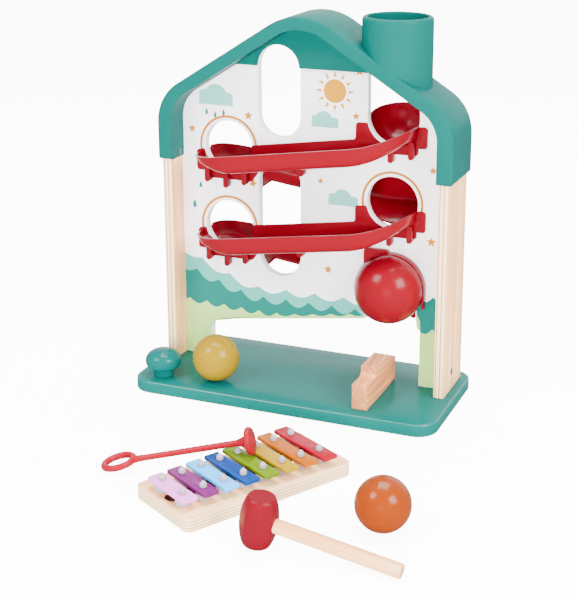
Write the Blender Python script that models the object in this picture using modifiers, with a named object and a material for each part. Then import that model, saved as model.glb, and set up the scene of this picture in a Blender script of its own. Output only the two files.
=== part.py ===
"""A toy ball-run house, with its xylophone, mallet, hammer and two balls.

The house stands at the origin: X runs along its base, Y from front to back, Z up.
"""

import math

import bmesh
import bpy
from mathutils import Euler, Vector

# Clearance left between pieces that touch, and how far a cutter passes a face
GAP = 0.0003
PASS = 0.004
ARC_STEP = math.radians(18)
SMALL_ARC_STEP = math.radians(45)

# Base board
BASE_LENGTH = 0.305
BASE_DEPTH = 0.141
BASE_THICK = 0.012
BASE_CORNER = 0.020
BASE_EDGE = 0.0015

# Side posts of plywood
POST_END_INSET = 0.0087
POST_THICK = 0.010
POST_DEPTH = 0.059
POST_BACK_INSET = 0.0172
POST_TENON = 0.030

# Printed panel, its round holes in pairs and its two long windows
PANEL_AHEAD = 0.0080
PANEL_THICK = 0.009
HOLE_DIAMETER = 0.050
HOLE_OUT = 0.0834
TOP_HOLE_Z = 0.2702
RUN_DROP = 0.0397
WINDOW_X = -0.030
WINDOW_WIDTH = 0.043
UPPER_WINDOW_Z = (0.2435, 0.3324)
LOWER_WINDOW_Z = (0.1055, 0.222)
ARCH_LEFT = -0.1052
ARCH_RIGHT = 0.1128
ARCH_LEFT_Z = 0.0505
ARCH_RIGHT_Z = 0.0808
ARCH_ROUND = 0.010

# Roof canopy with its chimney
ROOF_OVERHANG = 0.0032
ROOF_DEPTH = 0.065
ROOF_AHEAD = 0.0245
ROOF_TOP_Z = 0.362
EAVES_Z = 0.218
ROOF_PITCH = math.radians(32.4)
ROOF_WALL = 0.012
ROOF_SKIN = 0.0015
RIDGE_ROUND = 0.057
EAVE_ROUND = 0.045
ROOF_EDGE = 0.002
WEB_Z = 0.3115
WEB_THICK = 0.003
CHIMNEY_DIAMETER = 0.065
CHIMNEY_BORE = 0.053
CHIMNEY_TOP_Z = 0.3635
CHIMNEY_RIM = 0.003
CHIMNEY_LEDGE = 0.002
CHIMNEY_LEDGE_DEPTH = 0.005

# Tracks: moulded troughs that hang on the panel, one hole to the next
ENTRY_HALF = 0.107
EXIT_HALF = 0.112
TRACK_REACH = 0.050
TRACK_END_RUN = 0.050
TRACK_WALL = 0.002
TRACK_SLOPE = 0.145
TRACK_HANG = 0.0250
TRACK_HEIGHT = 0.0166
TRACK_LIP = 0.003
ENTRY_BEND = 0.055
ENTRY_LIFT = 5.5
ENTRY_RIM_LIFT = 2.8
EXIT_BEND = 0.062
EXIT_LIFT = 1.4
EXIT_RIM_FALL = 0.6
FLOOR_TILT = 0.004
BILGE_RUN = 0.007
BILGE_RISE = 0.006
FLOOR_SHARE = 0.87
CURL_RADIUS = 0.027
CATCH_RISE = 0.036
CATCH_LEAN = 0.010
CATCH_START = 0.020
SEAT_THICK = 0.002
EAR_OUT = 0.1166
EAR_WIDTH = 0.011
EAR_DROP = 0.0052
EAR_BOTTOM = 0.0255
EAR_ROUND = 0.003
FLANGE_DROP = 0.0325
FINGER_WIDTH = 0.0055
FINGER_STEP = 0.0195
FINGER_REACH = 0.008
SIDE_FINGER_DROP = 0.0353
MIDDLE_FINGER_DROP = 0.0397
LUG_X = -0.006
LUG_WIDTH = 0.008
LUG_DROP = 0.041
VIEW_DEPTH = 0.0217

# Scoop behind the top notch and hood over the exit
DOME_WALL = 0.0022
SCOOP_RADIUS = 0.029
SCOOP_COLLAR = 0.010
SCOOP_RIM_DROP = 0.0015
SCOOP_RIM_TILT = math.radians(13)
HOOD_RADIUS = 0.0328
HOOD_COLLAR = 0.0073
HOOD_LIP = 0.0008
HOOD_X = 0.0846
HOOD_Z = 0.1100
HOOD_LEG = 0.0175
HOOD_TAB_OUT = 0.0271
HOOD_TAB_LOW = 0.010
HOOD_TAB_TOP = 0.0358

# Stepped block and turned knob on the base
BLOCK_X = 0.079
BLOCK_FRONT_INSET = 0.0132
BLOCK_WIDTH = 0.015
BLOCK_FRONT_STEP = 0.025
BLOCK_CREST = 0.036
BLOCK_BACK_STEP = 0.021
BLOCK_STEP_HEIGHT = 0.024
BLOCK_HEIGHT = 0.033
BLOCK_COVE = 0.005
KNOB_INSET_X = 0.0258
KNOB_INSET_Y = 0.0220
KNOB_NECK_DIAMETER = 0.0198
KNOB_NECK_HEIGHT = 0.0085
KNOB_CAP_DIAMETER = 0.0348
KNOB_CAP_HEIGHT = 0.0185

# Balls
BALL_DIAMETER = 0.045
YELLOW_BALL_X = -0.0733
YELLOW_BALL_Y = -0.0410
ORANGE_BALL_X = 0.1636
ORANGE_BALL_Y = -0.2379

# Xylophone: board, graded bars and the studs that hold them
XYLO_X = 0.0337
XYLO_Y = -0.2097
XYLO_TURN = math.radians(59.5)
BOARD_WIDTH = 0.078
BOARD_THICK = 0.012
BOARD_CORNER = 0.006
BOARD_EDGE = 0.001
BAR_COLOURS = ("lavender", "purple", "sky", "blue", "lime", "yellow", "orange", "red")
BAR_PITCH = 0.0190
FIRST_BAR_INSET = 0.0118
LAST_BAR_INSET = 0.0202
BOARD_LENGTH = FIRST_BAR_INSET + (len(BAR_COLOURS) - 1) * BAR_PITCH + LAST_BAR_INSET
BAR_WIDTH = 0.0145
BAR_THICK = 0.003
SHORT_BAR = 0.054
LONG_BAR = 0.072
STUD_SHARE = 0.55
STUD_FOOT_DIAMETER = 0.0125
STUD_FOOT_HEIGHT = 0.006
STUD_NECK_DIAMETER = 0.0036
STUD_HEAD_DIAMETER = 0.0060
STUD_HEAD_HEIGHT = 0.0055
STUD_PIN_DEPTH = 0.007
SLOT_SHORT_WIDTH = 0.014
SLOT_LONG_WIDTH = 0.022
SLOT_END = 0.006

# Mallet lying over the bars with its ring on the floor
MALLET_HEAD_ALONG = 0.0111
MALLET_HEAD_ACROSS = 0.0087
MALLET_RING_ALONG = -0.0673
MALLET_RING_ACROSS = 0.0916
MALLET_HEAD_DIAMETER = 0.024
MALLET_HEAD_THICK = 0.0050
MALLET_FLARE = 0.0110
MALLET_SHAFT_DIAMETER = 0.0054
MALLET_RING_DIAMETER = 0.0255
MALLET_RING_WIRE = 0.0058

# Hammer standing on its head's edge and its handle's end
HAMMER_X = 0.0841
HAMMER_Y = -0.2954
HAMMER_TURN = math.radians(-2.4)
HAMMER_LENGTH = 0.041
HAMMER_FACE_DIAMETER = 0.0215
HAMMER_BULGE_DIAMETER = 0.0296
HANDLE_DIAMETER = 0.0117
HANDLE_REACH = 0.117
HANDLE_SOCKET = 0.008

# Screws: countersunk head and plain shank
SCREW_HEAD_DIAMETER = 0.0066
SCREW_HEAD_DEPTH = 0.0022
SCREW_SHANK_DIAMETER = 0.0034
SCREW_SINK = 0.0004
POST_SCREW_LENGTH = 0.034
POST_SCREW_INSET = 0.012
KNOB_SCREW_LENGTH = 0.026
BLOCK_SCREW_LENGTH = 0.028
ROOF_SCREW_LENGTH = 0.010
ROOF_SCREW_RISE = 0.0045
ROOF_SCREW_AHEAD = 0.005
PANEL_SCREW_LENGTH = 0.025
PANEL_SCREW_RISE = 0.018

# Places that follow from the sizes above
POST_SPAN = BASE_LENGTH - 2 * (POST_END_INSET + POST_THICK)
POST_Y = BASE_DEPTH / 2 - POST_BACK_INSET - POST_DEPTH / 2
PANEL_FRONT = POST_Y - PANEL_AHEAD
PANEL_BACK = PANEL_FRONT + PANEL_THICK
ROOF_WIDTH = POST_SPAN + 2 * (POST_THICK + ROOF_OVERHANG)
POST_X = POST_SPAN / 2 + POST_THICK / 2
ROOF_Y = PANEL_FRONT - ROOF_AHEAD + ROOF_DEPTH / 2
ROOF_LEG = ROOF_WIDTH / 2 - POST_SPAN / 2 + GAP + ROOF_SKIN
BAR_FLOOR = BOARD_THICK + STUD_FOOT_HEIGHT + GAP
BAR_TOP = BAR_FLOOR + BAR_THICK


def clear_scene():
    for old in list(bpy.data.objects):
        bpy.data.objects.remove(old, do_unlink=True)


def new_collection(name):
    collection = bpy.data.collections.new(name)
    bpy.context.scene.collection.children.link(collection)
    return collection


clear_scene()
PARTS = new_collection("musical_marble_run")
TOOLS = new_collection("cutters")


def paint(name, colour, roughness, metallic=0.0):
    material = bpy.data.materials.new(name)
    material.use_nodes = True
    shader = material.node_tree.nodes["Principled BSDF"]
    shader.inputs["Base Color"].default_value = (*colour, 1.0)
    shader.inputs["Roughness"].default_value = roughness
    shader.inputs["Metallic"].default_value = metallic
    return material


TEAL = paint("teal_paint", (0.01, 0.38, 0.33), 0.45)
TEAL_PLASTIC = paint("teal_plastic", (0.02, 0.40, 0.34), 0.4)
TEAL_LACQUER = paint("teal_lacquer", (0.0, 0.22, 0.21), 0.12)
PLY = paint("birch_plywood", (0.87, 0.74, 0.58), 0.6)
PRINTED = paint("printed_panel", (0.93, 0.89, 0.90), 0.5)
RED_PLASTIC = paint("red_plastic", (0.72, 0.005, 0.025), 0.25)
BEECH = paint("beech", (0.74, 0.42, 0.24), 0.6)
DOWEL = paint("pale_dowel", (0.90, 0.70, 0.50), 0.6)
GREY_PLASTIC = paint("grey_plastic", (0.52, 0.50, 0.52), 0.4)
SCREW_STEEL = paint("screw_steel", (0.35, 0.35, 0.36), 0.35, 1.0)
YELLOW_PAINT = paint("yellow_paint", (0.95, 0.58, 0.01), 0.25)
ORANGE_PAINT = paint("orange_paint", (0.90, 0.22, 0.01), 0.25)
BAR_PAINTS = {
    "lavender": paint("bar_lavender", (0.66, 0.42, 0.70), 0.3, 0.3),
    "purple": paint("bar_purple", (0.34, 0.07, 0.34), 0.3, 0.3),
    "sky": paint("bar_sky", (0.30, 0.63, 0.90), 0.3, 0.3),
    "blue": paint("bar_blue", (0.03, 0.18, 0.54), 0.3, 0.3),
    "lime": paint("bar_lime", (0.37, 0.60, 0.03), 0.3, 0.3),
    "yellow": paint("bar_yellow", (0.95, 0.66, 0.02), 0.3, 0.3),
    "orange": paint("bar_orange", (0.90, 0.30, 0.03), 0.3, 0.3),
    "red": paint("bar_red", (0.70, 0.07, 0.09), 0.3, 0.3),
}


def place(name, mesh, material, location=(0, 0, 0), rotation=(0, 0, 0), parent=None):
    piece = bpy.data.objects.new(name, mesh)
    PARTS.objects.link(piece)
    piece.location = location
    piece.rotation_euler = rotation
    piece.parent = parent
    mesh.materials.clear()
    mesh.materials.append(material)
    return piece


def tool(name, mesh, location=(0, 0, 0), rotation=(0, 0, 0), parent=None):
    """A cutter, or a shape that is joined into a piece: never a piece itself."""
    shape = bpy.data.objects.new(name, mesh)
    TOOLS.objects.link(shape)
    shape.location = location
    shape.rotation_euler = rotation
    shape.parent = parent
    shape.hide_render = True
    shape.display_type = "WIRE"
    return shape


def combine(piece, other, operation):
    modifier = piece.modifiers.new(other.name, "BOOLEAN")
    modifier.object = other
    modifier.operation = operation
    modifier.solver = "EXACT"


def cut(piece, other):
    combine(piece, other, "DIFFERENCE")


def join(piece, other):
    combine(piece, other, "UNION")


def round_edges(piece, width, segments=2):
    modifier = piece.modifiers.new("rounded_edges", "BEVEL")
    modifier.width = width
    modifier.segments = segments
    modifier.limit_method = "ANGLE"
    modifier.angle_limit = math.radians(40)


def smooth(mesh, angle=40):
    mesh.shade_smooth()
    mesh.set_sharp_from_angle(angle=math.radians(angle))


def rounded(corners, arc_step=ARC_STEP):
    """Closed outline through (x, y, radius) corners, with each corner an arc."""
    outline = []
    for index, (x, y, radius) in enumerate(corners):
        here = Vector((x, y))
        before = (Vector(corners[index - 1][:2]) - here).normalized()
        after = (Vector(corners[(index + 1) % len(corners)][:2]) - here).normalized()
        if radius == 0:
            outline.append(here)
            continue
        half = before.angle(after) / 2
        middle = here + (before + after).normalized() * (radius / math.sin(half))
        start = here + before * (radius / math.tan(half)) - middle
        turn = math.pi - 2 * half
        side = 1 if before.x * after.y - before.y * after.x < 0 else -1
        steps = max(2, math.ceil(turn / arc_step - 1e-6))
        for step in range(steps + 1):
            angle = side * turn * step / steps
            spoke = Vector((
                start.x * math.cos(angle) - start.y * math.sin(angle),
                start.x * math.sin(angle) + start.y * math.cos(angle),
            ))
            outline.append(middle + spoke)
    pairs = zip(outline, outline[-1:] + outline[:-1])
    return [point for point, last in pairs if (point - last).length > 1e-6]


def box_outline(low_x, low_y, high_x, high_y, radius=0.0, arc_step=ARC_STEP):
    corners = ((low_x, low_y), (high_x, low_y), (high_x, high_y), (low_x, high_y))
    return rounded([(x, y, radius) for x, y in corners], arc_step)


def circle(x, y, radius, steps=28):
    turns = [2 * math.pi * step / steps for step in range(steps)]
    return [Vector((x + radius * math.cos(turn), y + radius * math.sin(turn))) for turn in turns]


def weld(mesh):
    shape = bmesh.new()
    shape.from_mesh(mesh)
    bmesh.ops.remove_doubles(shape, verts=shape.verts, dist=1e-6)
    bmesh.ops.recalc_face_normals(shape, faces=shape.faces)
    shape.to_mesh(mesh)
    shape.free()


def flat_mesh(name, outlines, thick):
    """Flat plate of the given outlines, centred on its own plane; inner outlines are holes."""
    curve = bpy.data.curves.new(name, "CURVE")
    curve.dimensions = "2D"
    curve.fill_mode = "BOTH"
    curve.extrude = thick / 2
    for outline in outlines:
        spline = curve.splines.new("POLY")
        spline.points.add(len(outline) - 1)
        for point, (x, y) in zip(spline.points, outline):
            point.co = (x, y, 0.0, 1.0)
        spline.use_cyclic_u = True
    holder = bpy.data.objects.new(name, curve)
    TOOLS.objects.link(holder)
    graph = bpy.context.evaluated_depsgraph_get()
    mesh = bpy.data.meshes.new_from_object(holder.evaluated_get(graph))
    bpy.data.objects.remove(holder, do_unlink=True)
    bpy.data.curves.remove(curve)
    mesh.name = name
    weld(mesh)
    return mesh


UPRIGHT = (math.radians(90), 0, 0)
SIDEWAYS = (math.radians(90), 0, math.radians(90))


def turned_mesh(name, profile, steps):
    """Profile of (radius, height) points from the top of the axis, revolved with a Screw."""
    mesh = bpy.data.meshes.new(name)
    edges = [(index, index + 1) for index in range(len(profile) - 1)]
    mesh.from_pydata([(radius, 0.0, height) for radius, height in profile], edges, [])
    holder = bpy.data.objects.new(name, mesh)
    TOOLS.objects.link(holder)
    screw = holder.modifiers.new("turned", "SCREW")
    screw.axis = "Z"
    screw.steps = steps
    screw.render_steps = steps
    screw.use_merge_vertices = True
    screw.merge_threshold = 1e-6
    graph = bpy.context.evaluated_depsgraph_get()
    solid = bpy.data.meshes.new_from_object(holder.evaluated_get(graph))
    bpy.data.objects.remove(holder, do_unlink=True)
    bpy.data.meshes.remove(mesh)
    solid.name = name
    weld(solid)
    smooth(solid)
    return solid


def rod_profile(radius, top, bottom):
    return [(0, top), (radius, top), (radius, bottom), (0, bottom)]


def box_mesh(name, size):
    mesh = bpy.data.meshes.new(name)
    shape = bmesh.new()
    bmesh.ops.create_cube(shape, size=1.0)
    bmesh.ops.scale(shape, vec=size, verts=shape.verts)
    shape.to_mesh(mesh)
    shape.free()
    return mesh


def screw_profile(length, growth, extra):
    """Countersunk screw with its head at the top; growth and extra make the bore it sits in."""
    head = SCREW_HEAD_DIAMETER / 2 + growth
    shank = SCREW_SHANK_DIAMETER / 2 + growth
    neck = -SCREW_HEAD_DEPTH - growth
    tip = -length - growth
    profile = [(0, extra), (head, extra)]
    if extra > 0:
        profile.append((head, 0))
    return profile + [(shank, neck), (shank, tip + shank), (0, tip)]


def drive_screw(name, location, rotation, length, pieces):
    """A screw whose head lies just below the face at location, and its bore in each piece."""
    inward = Vector((0, 0, -1))
    inward.rotate(Euler(rotation))
    seat = Vector(location) + inward * SCREW_SINK
    bore_mesh = turned_mesh(name + "_bore", screw_profile(length, GAP, PASS), 8)
    bore = tool(name + "_bore", bore_mesh, seat, rotation)
    for piece in pieces:
        cut(piece, bore)
    mesh = turned_mesh(name, screw_profile(length, 0.0, 0.0), 8)
    return place(name, mesh, SCREW_STEEL, seat, rotation)


FROM_BELOW = (math.radians(180), 0, 0)
FROM_RIGHT = (0, math.radians(90), 0)
FROM_LEFT = (0, math.radians(-90), 0)


def hole_z(number):
    """Height of a hole's centre: 0 is the top notch, and each run drops to the next."""
    return TOP_HOLE_Z - number * RUN_DROP


def make_base():
    outline = box_outline(
        -BASE_LENGTH / 2, -BASE_DEPTH / 2, BASE_LENGTH / 2, BASE_DEPTH / 2, BASE_CORNER)
    mesh = flat_mesh("base_board", [outline], BASE_THICK)
    smooth(mesh, 30)
    base = place("base_board", mesh, TEAL, (0, 0, BASE_THICK / 2))
    round_edges(base, BASE_EDGE)
    return base


def make_post(name, side):
    low = BASE_THICK + GAP
    high = EAVES_Z + POST_TENON
    mesh = box_mesh(name, (POST_THICK, POST_DEPTH, high - low))
    return place(name, mesh, PLY, (side * POST_X, POST_Y, (low + high) / 2))


def roof_corners(leg_inset, slope_inset):
    """Eave, ridge and eave corners of the roof's outline, inset from its outer face."""
    half = ROOF_WIDTH / 2 - leg_inset
    sharp = ROOF_TOP_Z + RIDGE_ROUND * (1 / math.cos(ROOF_PITCH) - 1)
    ridge = sharp - slope_inset / math.cos(ROOF_PITCH)
    eave = ridge - half * math.tan(ROOF_PITCH)
    round_eave = EAVE_ROUND - slope_inset
    return [(half, eave, round_eave), (0, ridge, RIDGE_ROUND - slope_inset), (-half, eave, round_eave)]


def window_cutter(name, heights):
    low, high = heights
    outline = box_outline(
        WINDOW_X - WINDOW_WIDTH / 2, low, WINDOW_X + WINDOW_WIDTH / 2, high, WINDOW_WIDTH / 2)
    depth = PANEL_THICK + 2 * (WEB_THICK + PASS)
    return tool(name, flat_mesh(name, [outline], depth), (0, PANEL_FRONT + PANEL_THICK / 2, 0), UPRIGHT)


def make_panel(upper_window, lower_window):
    half = POST_SPAN / 2 - GAP
    foot = BASE_THICK + GAP
    shoulder = EAVES_Z - GAP
    tucked = ROOF_WIDTH / 2 - ROOF_LEG - GAP
    roofed = roof_corners(ROOF_LEG + GAP, ROOF_WALL + GAP)
    outline = rounded(
        [(half, foot, 0), (half, shoulder, 0), (tucked, shoulder, 0)] + roofed
        + [(-tucked, shoulder, 0), (-half, shoulder, 0), (-half, foot, 0)])
    holes = [
        circle(-HOLE_OUT, hole_z(1), HOLE_DIAMETER / 2),
        circle(HOLE_OUT, hole_z(2), HOLE_DIAMETER / 2),
        circle(-HOLE_OUT, hole_z(3), HOLE_DIAMETER / 2),
    ]
    mesh = flat_mesh("display_panel", [outline] + holes, PANEL_THICK)
    smooth(mesh, 30)
    middle = (0, PANEL_FRONT + PANEL_THICK / 2, 0)
    panel = place("display_panel", mesh, PRINTED, middle, UPRIGHT)
    through = PANEL_THICK + 2 * PASS
    side = HOLE_DIAMETER / 2
    notch = box_outline(HOLE_OUT - side, hole_z(0) - side, HOLE_OUT + side, ROOF_TOP_Z, side)
    fall = box_outline(HOLE_OUT - side, ARCH_LEFT_Z, HOLE_OUT + side, hole_z(4) + side, side)
    arch = rounded([
        (ARCH_LEFT, foot - PASS, 0),
        (ARCH_RIGHT, foot - PASS, 0),
        (ARCH_RIGHT, ARCH_RIGHT_Z, ARCH_ROUND),
        (ARCH_LEFT, ARCH_LEFT_Z, ARCH_ROUND),
    ])
    for name, shape in (("entry_notch", notch), ("exit_notch", fall), ("foot_arch", arch)):
        cut(panel, tool(name, flat_mesh(name, [shape], through), middle, UPRIGHT))
    cut(panel, upper_window)
    cut(panel, lower_window)
    return panel


def make_roof(upper_window):
    low = EAVES_Z - 2 * PASS
    foot = [(-ROOF_WIDTH / 2, low, 0), (ROOF_WIDTH / 2, low, 0)]
    mesh = flat_mesh("roof_canopy", [rounded(foot + roof_corners(0, 0))], ROOF_DEPTH)
    smooth(mesh, 30)
    roof = place("roof_canopy", mesh, TEAL_PLASTIC, (0, ROOF_Y, 0), UPRIGHT)
    round_edges(roof, ROOF_EDGE)

    radius = CHIMNEY_DIAMETER / 2
    stack = [
        (0, CHIMNEY_TOP_Z),
        (radius - CHIMNEY_RIM, CHIMNEY_TOP_Z),
        (radius - CHIMNEY_RIM * 0.3, CHIMNEY_TOP_Z - CHIMNEY_RIM * 0.3),
        (radius, CHIMNEY_TOP_Z - CHIMNEY_RIM),
        (radius, EAVES_Z + CHIMNEY_RIM),
        (0, EAVES_Z + CHIMNEY_RIM),
    ]
    centre = (HOLE_OUT, ROOF_Y, 0)
    join(roof, tool("chimney_stack", turned_mesh("chimney_stack", stack, 36), centre))

    inner = ROOF_WIDTH / 2 - ROOF_LEG
    wide = ROOF_WIDTH / 2 + PASS
    below = [(-inner, EAVES_Z, 0), (-wide, EAVES_Z, 0), (-wide, low - PASS, 0)]
    below += [(wide, low - PASS, 0), (wide, EAVES_Z, 0), (inner, EAVES_Z, 0)]
    void = rounded(below + roof_corners(ROOF_LEG, ROOF_WALL))
    void_mesh = flat_mesh("roof_void", [void], CHIMNEY_DIAMETER + ROOF_DEPTH)
    cut(roof, tool("roof_void", void_mesh, (0, ROOF_Y, 0), UPRIGHT))

    ridge_x, ridge_z, ridge_round = roof_corners(ROOF_LEG, ROOF_WALL / 2)[1]
    reach = (ridge_z - WEB_Z) / math.tan(ROOF_PITCH)
    web = rounded([(-reach, WEB_Z, 0), (reach, WEB_Z, 0), (ridge_x, ridge_z, ridge_round)])
    web_y = PANEL_FRONT - GAP - WEB_THICK / 2
    join(roof, tool("gable_web", flat_mesh("gable_web", [web], WEB_THICK), (0, web_y, 0), UPRIGHT))

    ledge = CHIMNEY_BORE / 2 + CHIMNEY_LEDGE
    bore = [
        (0, CHIMNEY_TOP_Z + PASS),
        (ledge, CHIMNEY_TOP_Z + PASS),
        (ledge, CHIMNEY_TOP_Z - CHIMNEY_LEDGE_DEPTH),
        (CHIMNEY_BORE / 2, CHIMNEY_TOP_Z - CHIMNEY_LEDGE_DEPTH),
        (CHIMNEY_BORE / 2, EAVES_Z + CHIMNEY_BORE / 2),
        (0, EAVES_Z + CHIMNEY_BORE / 2),
    ]
    cut(roof, tool("chimney_bore", turned_mesh("chimney_bore", bore, 36), centre))
    cut(roof, upper_window)

    pocket = (POST_THICK + 2 * GAP, POST_DEPTH + 2 * GAP, POST_TENON + PASS + GAP)
    pocket_z = EAVES_Z + (POST_TENON - PASS + GAP) / 2
    for name, side in (("left_pocket", -1), ("right_pocket", 1)):
        cut(roof, tool(name, box_mesh(name, pocket), (side * POST_X, POST_Y, pocket_z)))
    return roof


def track_rim(x):
    """Height of a trough's outer rim along its run, from the middle of its two holes."""
    entry = max(0.0, x - ENTRY_BEND)
    leaving = max(0.0, -x - ENTRY_BEND)
    lift = ENTRY_RIM_LIFT * entry ** 2 - EXIT_RIM_FALL * leaving ** 2
    return TRACK_HEIGHT - TRACK_HANG + TRACK_SLOPE * x + lift


def track_floor(x):
    """Height of a trough's floor at its outer wall; it curls up to the rim at both ends."""
    entry = max(0.0, x - ENTRY_BEND)
    leaving = max(0.0, -x - EXIT_BEND)
    height = -TRACK_HANG + TRACK_SLOPE * x + ENTRY_LIFT * entry ** 2 + EXIT_LIFT * leaving ** 1.5
    return min(height, track_rim(x) - TRACK_LIP)


def seat_floor(x):
    """Height of a trough's floor at the panel: low at both holes, and curling up past them."""
    outer = max(-HOLE_OUT, min(HOLE_OUT, x)) / FLOOR_SHARE
    entry = max(0.0, outer - ENTRY_BEND)
    height = -TRACK_HANG + TRACK_SLOPE * outer + ENTRY_LIFT * entry ** 2
    beyond = min(CURL_RADIUS, max(0.0, abs(x) - HOLE_OUT))
    curl = CURL_RADIUS - math.sqrt(CURL_RADIUS ** 2 - beyond ** 2)
    return height - FLOOR_TILT * abs(outer) / HOLE_OUT + curl


def wall_path():
    """Plan of the outer wall, from the panel at the entry to the panel at the exit."""
    seat = -GAP - SEAT_THICK / 2
    reach = TRACK_REACH + seat
    quarter = [math.radians(18 * step) for step in range(6)]
    ends = []
    for half in (ENTRY_HALF, EXIT_HALF):
        straight = half - TRACK_END_RUN
        ends.append([(straight + TRACK_END_RUN * math.cos(a), seat - reach * math.sin(a)) for a in quarter])
    entry, leaving = ends
    start = entry[-1][0]
    run = start + leaving[-1][0]
    middle = [(start - run * step / 4, -TRACK_REACH) for step in (1, 2, 3)]
    return entry + middle + [(-x, y) for x, y in reversed(leaving)]


def trough_mesh(name, catch):
    """Open surface of a trough: outer rim, wall, bilge and floor, ready for a Solidify."""
    seat = -GAP - SEAT_THICK / 2
    columns = []
    for x, y in wall_path():
        wall = Vector((x, y))
        back = Vector((x * FLOOR_SHARE, seat))
        inward = (back - wall).normalized()
        foot = wall + inward * BILGE_RUN
        closeness = 1 - (seat - y) / (TRACK_REACH + seat)
        low = seat_floor(back.x)
        floor = track_floor(x) + (seat_floor(foot.x) - track_floor(x)) * closeness ** 3
        bilge = min(BILGE_RISE, (track_rim(x) - floor) / 2)
        rows = [
            (*wall, track_rim(x)),
            (*(wall + inward * BILGE_RUN * 0.12), floor + bilge),
            (*(wall + inward * BILGE_RUN * 0.45), floor + bilge * 0.3),
            (*foot, floor),
            (*foot.lerp(back, 0.5), (floor + low) / 2),
            (*back, low),
        ]
        if catch:
            part = min(1.0, max(0.0, (-x - CATCH_START) / (HOLE_OUT - CATCH_START)))
            ease = part * part * (3 - 2 * part)
            lean = inward * CATCH_LEAN * ease * min(1.0, 3 * (1 + x / EXIT_HALF))
            rise = TRACK_WALL + CATCH_RISE * ease
            rows.insert(0, (*(wall + lean), track_rim(x) + rise))
            rows.insert(1, (*(wall + lean * 0.3), track_rim(x) + rise * 0.6))
        columns.append(rows)
    mesh = bpy.data.meshes.new(name)
    depth = len(columns[0])
    faces = []
    for column in range(len(columns) - 1):
        for row in range(depth - 1):
            near = column * depth + row
            far = near + depth
            faces.append((near, far, far + 1, near + 1))
    mesh.from_pydata([point for rows in columns for point in rows], [], faces)
    return mesh


def track_seat(name, parent):
    """Plate that lies flat on the panel: rear wall, ears beside the holes, flange below them."""
    half_drop = RUN_DROP / 2
    entry, leave = half_drop, -half_drop
    end = EAR_OUT
    inner = HOLE_OUT - HOLE_DIAMETER / 2
    outer = HOLE_OUT + HOLE_DIAMETER / 2 - GAP
    wall = inner - EAR_WIDTH
    under = TRACK_WALL
    outline = rounded([
        (end, entry - EAR_BOTTOM, EAR_ROUND),
        (end, entry - EAR_DROP, EAR_ROUND),
        (wall, entry - EAR_DROP, EAR_ROUND),
        (wall, track_floor(wall) + TRACK_HEIGHT, EAR_ROUND),
        (-inner, track_floor(-inner) + TRACK_HEIGHT, 0),
        (-end, leave - EAR_DROP, EAR_ROUND),
        (-end, leave - EAR_BOTTOM, EAR_ROUND),
        (-outer, leave - EAR_BOTTOM, 0),
        (-outer, leave - FLANGE_DROP, EAR_ROUND),
        (-inner, leave - FLANGE_DROP, EAR_ROUND),
        (-wall, seat_floor(-wall) - under, 0),
        (wall, seat_floor(wall) - under, 0),
        (HOLE_OUT - FINGER_STEP / 2, entry - FLANGE_DROP, EAR_ROUND),
        (outer, entry - FLANGE_DROP, EAR_ROUND),
        (outer, entry - EAR_BOTTOM, 0),
    ], SMALL_ARC_STEP)
    place_y = -GAP - SEAT_THICK / 2
    plate = flat_mesh(name + "_seat", [outline], SEAT_THICK)
    seat = tool(name + "_seat", plate, (0, place_y, 0), UPRIGHT, parent)
    for end_name, x, z in (("entry", HOLE_OUT, entry), ("exit", -HOLE_OUT, leave)):
        label = name + "_" + end_name
        ring = flat_mesh(label, [circle(x, z, HOLE_DIAMETER / 2 + GAP, 20)], SEAT_THICK + 2 * PASS)
        cut(seat, tool(label, ring, (0, place_y, 0), UPRIGHT, parent))
    return seat


def track_fingers(name, parent):
    """Round-ended ribs that hang under the ends and the middle of a trough, against the panel."""
    outlines = []
    half_drop = RUN_DROP / 2
    for x, z in ((HOLE_OUT, half_drop), (-HOLE_OUT, -half_drop)):
        for step in (-1, 0, 1):
            drop = SIDE_FINGER_DROP if step else MIDDLE_FINGER_DROP
            middle = x + step * FINGER_STEP
            low = z - drop
            high = max(seat_floor(middle), low + FINGER_WIDTH)
            half = FINGER_WIDTH / 2
            outlines.append(
                box_outline(middle - half, low, middle + half, high, half * 0.98, SMALL_ARC_STEP))
    half = LUG_WIDTH / 2
    outlines.append(
        box_outline(LUG_X - half, -LUG_DROP, LUG_X + half, seat_floor(LUG_X), half * 0.98, SMALL_ARC_STEP))
    label = name + "_fingers"
    place_y = -GAP - FINGER_REACH / 2 - SEAT_THICK / 4
    return tool(label, flat_mesh(label, outlines, FINGER_REACH), (0, place_y, 0), UPRIGHT, parent)


def ball_view():
    """Cutter that opens the back troughs behind the lower window, so that the ball shows there."""
    low, high = LOWER_WINDOW_Z
    half = WINDOW_WIDTH / 2
    outline = box_outline(WINDOW_X - half, low - PASS, WINDOW_X + half, high, half)
    mesh = flat_mesh("ball_view", [outline], 2 * VIEW_DEPTH)
    return tool("ball_view", mesh, (0, PANEL_BACK, 0), UPRIGHT)


def make_track(name, number, view):
    """Trough from hole number to the next: in front of the panel, or behind it with a view cut."""
    behind = view is not None
    frame = bpy.data.objects.new(name + "_frame", None)
    PARTS.objects.link(frame)
    middle_z = (hole_z(number) + hole_z(number + 1)) / 2
    frame.location = (0, PANEL_BACK if behind else PANEL_FRONT, middle_z)
    frame.rotation_euler = (0, 0, math.pi if behind else 0)
    track = place(name, trough_mesh(name, behind), RED_PLASTIC, parent=frame)
    solid = track.modifiers.new("wall", "SOLIDIFY")
    solid.thickness = TRACK_WALL
    solid.offset = 0.0
    solid.use_even_offset = True
    join(track, track_seat(name, frame))
    join(track, track_fingers(name, frame))
    if behind:
        cut(track, view)
    return track


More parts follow.
